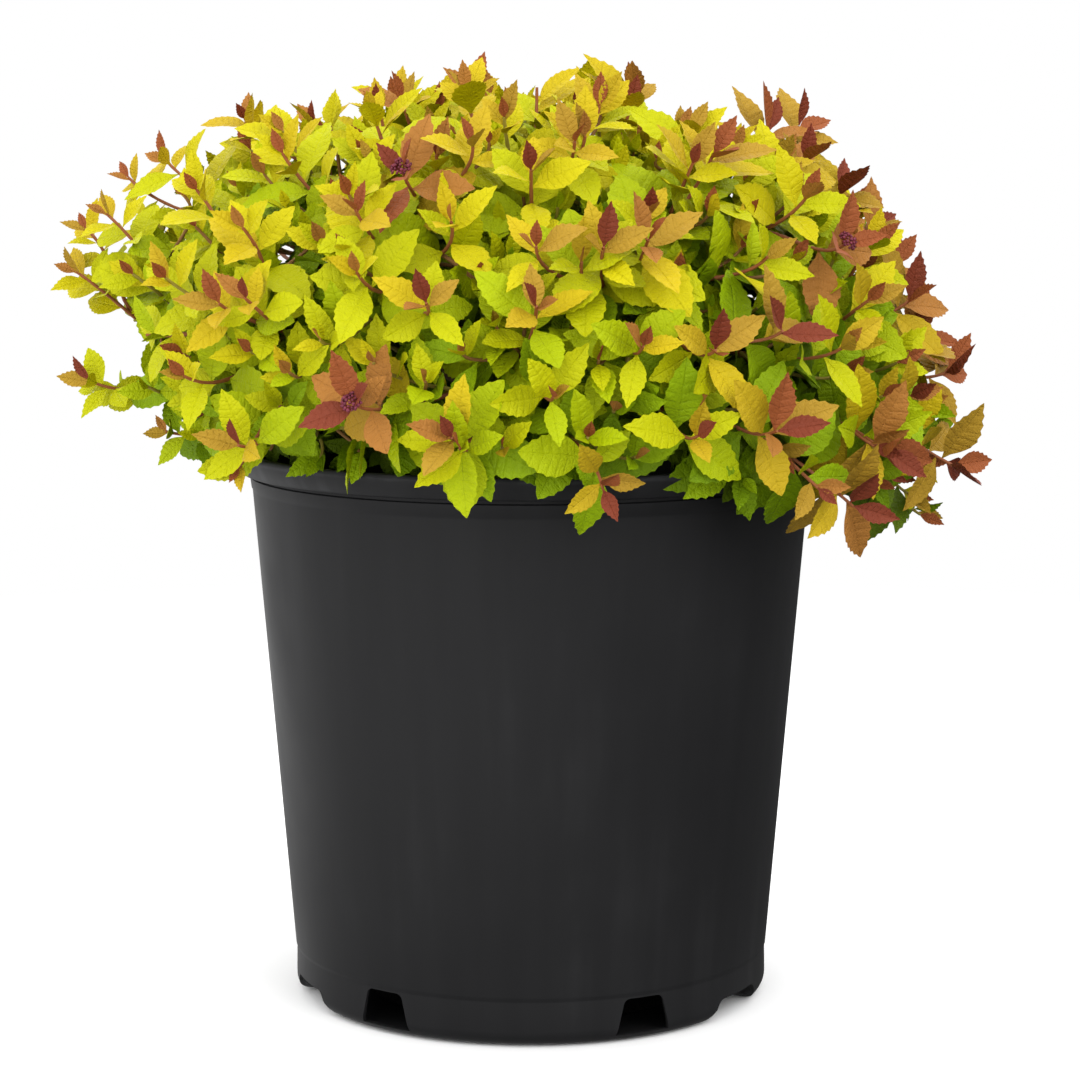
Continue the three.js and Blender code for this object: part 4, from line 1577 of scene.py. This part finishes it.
class Crowd:
    """The leaves set so far, which tell how many of them a new one would cut through."""

    def __init__(self):
        self.count = 0
        self.roots, self.middles = np.zeros((2, CROWD_ROOM, 3))
        self.frames, self.rims = np.zeros((CROWD_ROOM, 3, 3)), np.zeros((CROWD_ROOM, len(RIM), 3))
        self.sizes = np.zeros(CROWD_ROOM)

    def add(self, root, axes, size):
        spot = self.count
        self.roots[spot], self.middles[spot] = root, root + axes[:, 0] * size / 2
        self.frames[spot], self.sizes[spot] = axes, size
        self.rims[spot] = root + RIM * size @ axes.T
        self.count += 1

    def cuts(self, root, axes, size):
        middle = root + axes[:, 0] * size / 2
        apart = np.linalg.norm(self.middles[: self.count] - middle, axis=1)
        near = np.flatnonzero(apart < 0.5 * (self.sizes[: self.count] + size))
        if not near.size:
            return 0
        mine = root + RIM * size @ axes.T - self.roots[near][:, None]
        theirs = self.rims[near] - root
        through = crossed(mine, self.frames[near], self.sizes[near])
        through |= crossed(theirs, axes[None], np.array([size]))
        return int(through.sum())


print("rim of a blade:", len(RIM), "places")

# %% [markdown]
# A leaf that would pass the shoot's reach is shortened and opened wider. One that would meet the pot,
# cover a gap of sky or cut others is turned a little round its twig, to one side and the other, and
# if no turn is free of cuts, the one with the fewest is kept. At the front, lower leaves that would
# stand before a rosette's star are left out.

# %% Grow all leaves
# Places on a blade, along and across it, as shares of its length.
BLADE = np.array([(t, w) for t in (0.15, 0.3, 0.45, 0.6, 0.75, 0.9) for w in (-0.2, 0.0, 0.2)])
SHRINK, WIDEN = 0.93, 8  # share of its length that a leaf past the reach keeps, degrees it opens


def blocked(leaf, inner):
    """Whether a leaf covers a gap of sky or meets the pot; inner ones keep out of the sky windows."""
    point, axes, size = leaf["point"], leaf["axes"], leaf["size"]
    tip, middle = point + axes[:, 0] * size, leaf["middle"]
    edge = axes[:, 1] * size * LEAF["half"]
    if inner and (in_open_sky(middle) or in_open_sky(tip)):
        return True
    spine = point + np.outer(BLADE[:, 0] * size, axes[:, 0])
    if in_peephole(spine + np.outer(BLADE[:, 1] * size, axes[:, 1])):
        return True
    return in_pot([point, tip, middle + edge, middle - edge, middle])


def best_turn(twig, manner, wish, crowd):
    """Tries a leaf at a few turns round its twig, and gives the one that cuts the fewest others."""
    point, tangent, size, opening = wish["point"], wish["tangent"], wish["size"], wish["opening"]
    side = unit(np.cross(twig["aim"], [0.31, 0.17, 0.94]))
    base = unit(side - tangent * (side @ tangent))
    facing = unit(point - FORK)
    facing = facing - tangent * (facing @ tangent)
    best = None
    for attempt in range(LEAF["tries"]):
        turn = wish["angle"] + LEAF["step"] * ((attempt + 1) // 2) * (-1) ** attempt
        aside = base * math.cos(turn) + np.cross(tangent, base) * math.sin(turn)
        axes = leaf_pose(tangent, aside, math.radians(opening), wish["roll"], manner["turned"])
        away = point + axes[:, 0] * size - FORK
        if np.linalg.norm(away) > leaf_room(twig, unit(away)):
            size *= SHRINK
            opening += WIDEN
            continue
        if manner["star_shows"] and wish["count"] > LEAF["in_star"] and aside @ facing > 0.3:
            break
        leaf = {**wish, "axes": axes, "size": size, "middle": point + axes[:, 0] * size * 0.5}
        if blocked(leaf, wish["count"] > LEAF["in_sky"] or not twig["leads"]):
            continue
        leaf["cuts"] = crowd.cuts(point, axes, size)
        if best is None or leaf["cuts"] < best["cuts"]:
            best = leaf
        if not leaf["cuts"]:
            break
    return best


def leaf_room(twig, aim):
    """How far from the fork a leaf's tip may get."""
    past, more = LEAF["past"]
    return max(twig["length"] + (more if twig["leads"] else 0), reach(aim)) + past


def leaf_wish(count, manner, draw):
    """A leaf's size, opening, roll and plays before it meets its neighbours."""
    grown = min(1.0, count / LEAF["grown_at"])
    size = mix(manner["shortest"], LEAF["longest"], grown**0.7) * manner["vigour"]
    size = min(size * (1 + LEAF["unlike"] * (draw() - 0.5)), LEAF["most"])
    opening = mix(*manner["openings"], grown**0.6) + LEAF["sway"] * (draw() - 0.5)
    roll = LEAF["roll"] * (draw() - 0.5)
    return {"count": count, "size": size, "opening": opening, "roll": roll, "pick": draw(), "play": draw()}


def dress(leaf, manner, right):
    """Settles a leaf's shape and tint once its place is known."""
    middle = leaf["middle"]
    # painted shade in part: depth under the skin, hanging low, and the right side move the tint to
    # greener, darker ones
    depth = reach(unit(middle - FORK)) - np.linalg.norm(middle - FORK)
    low = within(0.0, (GROWN_AND_SHADED["sunlit"] - middle[2]) / GROWN_AND_SHADED["lower"], GROWN_AND_SHADED["most"])
    low *= GROWN_AND_SHADED["right"][0] + GROWN_AND_SHADED["right"][1] * right
    leaf["shape"] = shape_for(leaf["count"], leaf["pick"])
    ripe = leaf["count"] + manner["unripe"]
    leaf["tint"] = tint_for(ripe, manner["redness"], depth, low, leaf["play"])
    return leaf


def grow_leaves(twig, draw, crowd):
    """The leaves of one twig, from its tip inwards."""
    curve, manner, leaves = twig["curve"], manner_of(twig, draw), []
    angle, along, count = manner["first"], 0.6, 0
    while along < curve.length * (1 - LEAF["bare"][twig["order"]]):
        point, tangent = curve.at(1 - along / curve.length)
        wish = leaf_wish(count, manner, draw)
        leaf = best_turn(twig, manner, {**wish, "point": point, "tangent": tangent, "angle": angle}, crowd)
        if leaf:
            crowd.add(point, leaf["axes"], leaf["size"])
            leaves.append(dress(leaf, manner, twig["aim"][0]))
        angle += GOLDEN
        spacing = mix(*LEAF["joint"], min(1.0, count / LEAF["crowded"][twig["leads"]]))
        along += spacing * (0.85 + 0.3 * draw())
        count += 1
    return leaves


leaf_draw, crowd = random_stream(LEAF["seed"]), Crowd()
leaves = [leaf for twig in twigs for leaf in grow_leaves(twig, leaf_draw, crowd)]
print("leaves:", len(leaves), "of which cut others:", sum(leaf["cuts"] > 0 for leaf in leaves))

# %% [markdown]
# Each tint becomes one piece: a mesh of bare points, one for each leaf, which carry their turn, size
# and shape as attributes. Geometry Nodes set a leaf on every point. The finish keeps one plain base
# colour, so that it stays true wherever the model goes; roughness and a fine vein relief come from
# nodes.

# %% Leaf pieces
def leaf_tree():
    tree = Tree("set_leaves", Shapes="Collection", Material="Material")
    spin = tree.out("FunctionNodeEulerToRotation", tree.attribute("turn", "FLOAT_VECTOR"))
    copies = tree.copies(
        tree.start["Geometry"],
        tree.shapes(),
        Pick_Instance=True,
        Instance_Index=tree.attribute("shape", "INT"),
        Rotation=spin,
        Scale=tree.attribute("size"),
    )
    return tree.finish(copies)


def leaf_finish(tint):
    """One plain colour, with side veins and the midrib as relief that follows the blade."""
    made = Finish(f"leaf_{tint}", TINTS[tint], 0.5, 0.11)
    blade = made.axes(made.node("ShaderNodeUVMap", settings={"uv_map": "blade"}).outputs[0])
    beat = made.reckon("ShaderNodeMath", "MULTIPLY", blade["Y"], TEETH)
    vein = made.reckon("ShaderNodeMath", "PINGPONG", beat, 0.5)
    ribs = made.between(vein, 0.5, 0.32)
    midrib = made.between(made.reckon("ShaderNodeMath", "ABSOLUTE", blade["X"]), 0.0, 0.1)
    edges = {"feature": "DISTANCE_TO_EDGE"}
    cells = made.node("ShaderNodeTexVoronoi", Vector=made.place, Scale=560.0, settings=edges)
    fine = made.between(cells.outputs["Distance"], 0.0, 0.2)
    cloud = made.noise(260.0, 3.0)
    made.feed("Roughness", made.between(cloud, 0.3, 0.7, 0.42, 0.62))
    made.bumps((ribs, 0.35, 0.5), (midrib, 0.4, 0.6), (cloud, 0.6, 0.6), (fine, 0.25, 0.5))
    return made.material


def build_leaves(tint, group):
    turns = [tuple(Matrix(leaf["axes"].tolist()).to_euler()) for leaf in group]
    sizes = [leaf["size"] * MM for leaf in group]
    shapes = [leaf["shape"] for leaf in group]
    points = [leaf["point"] for leaf in group]
    obj = link(marked(f"leaves_{tint}", points, turn=turns, size=sizes, shape=shapes))
    settle(obj, leaf_tree(), Shapes=leaf_shapes, Material=leaf_finish(tint))
    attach(obj, "root")
    return obj


for number, tint in enumerate(TINTS):
    group = [leaf for leaf in leaves if leaf["tint"] == number]
    build_leaves(tint, group)
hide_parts(*[f"foliage_{i + 1:02d}" for i in range(len(boughs))])

# %% [markdown]
# ## Flower buds
#
# Three of the rosettes hold a tight head of purple buds, no wider than a fingertip. Each head is a
# small dome of beads, set by the golden angle over a cap.

# %% Bud heads
BUDS = {"beads": 40, "head": 3.5, "bead": 0.68, "cap": 1.25, "flat": 0.7, "proud": 0.35, "seed": 5}


def bead_tree():
    tree = Tree("set_beads", Size="Float", Material="Material")
    bead = tree.out("GeometryNodeMeshIcoSphere", Radius=tree.start["Size"], Subdivisions=2)
    copies = tree.copies(tree.start["Geometry"], bead, Scale=tree.attribute("size"))
    return tree.finish(tree.out("GeometryNodeSetShadeSmooth", copies))


def bud_points():
    """Beads over each head's cap, by place and size."""
    points, sizes = [], []
    draw = random_stream(BUDS["seed"])
    for twig in in_bud:
        end, tangent = twig["curve"].at(1.0)
        side = unit(np.cross(tangent, [0.2, 0.3, 0.9]))
        other = np.cross(tangent, side)
        for k in range(BUDS["beads"]):
            rise = 1 - BUDS["cap"] * (k + 0.5) / BUDS["beads"]
            ring = math.sqrt(max(0.0, 1 - rise * rise))
            out = side * math.cos(k * GOLDEN) * ring + other * math.sin(k * GOLDEN) * ring
            out = out + tangent * (BUDS["flat"] * rise + BUDS["proud"])
            points.append(end + out * BUDS["head"] * (0.85 + 0.3 * draw()))
            sizes.append(0.7 + 0.6 * draw())
    return points, sizes


def build_buds():
    points, sizes = bud_points()
    buds = link(marked("flower_buds", points, size=sizes))
    finish = Finish("bud_purple", (112, 40, 58), 0.55, 0.3)
    finish.colours(finish.noise(900.0, 2.0), (0.35, (84, 28, 42)), (0.7, (138, 58, 76)))
    settle(buds, bead_tree(), Size=BUDS["bead"] * MM, Material=finish.material)
    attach(buds, "root")
    return buds


buds = build_buds()
print("flower buds:", triangles(buds), "triangles")

# %% [markdown]
# ## Sizes, and the end
#
# The dressed plant has to fit the CAD model's box, apart from a little that leaves may stand proud.
# Both boxes are kept, and the dressed plant's box is printed.

# %% The sizes
boxes = {
    "cad": [list(corner) for corner in CAD_BOX],
    "visual": [list(corner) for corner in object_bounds()],
}
show_box("visual", boxes["visual"])
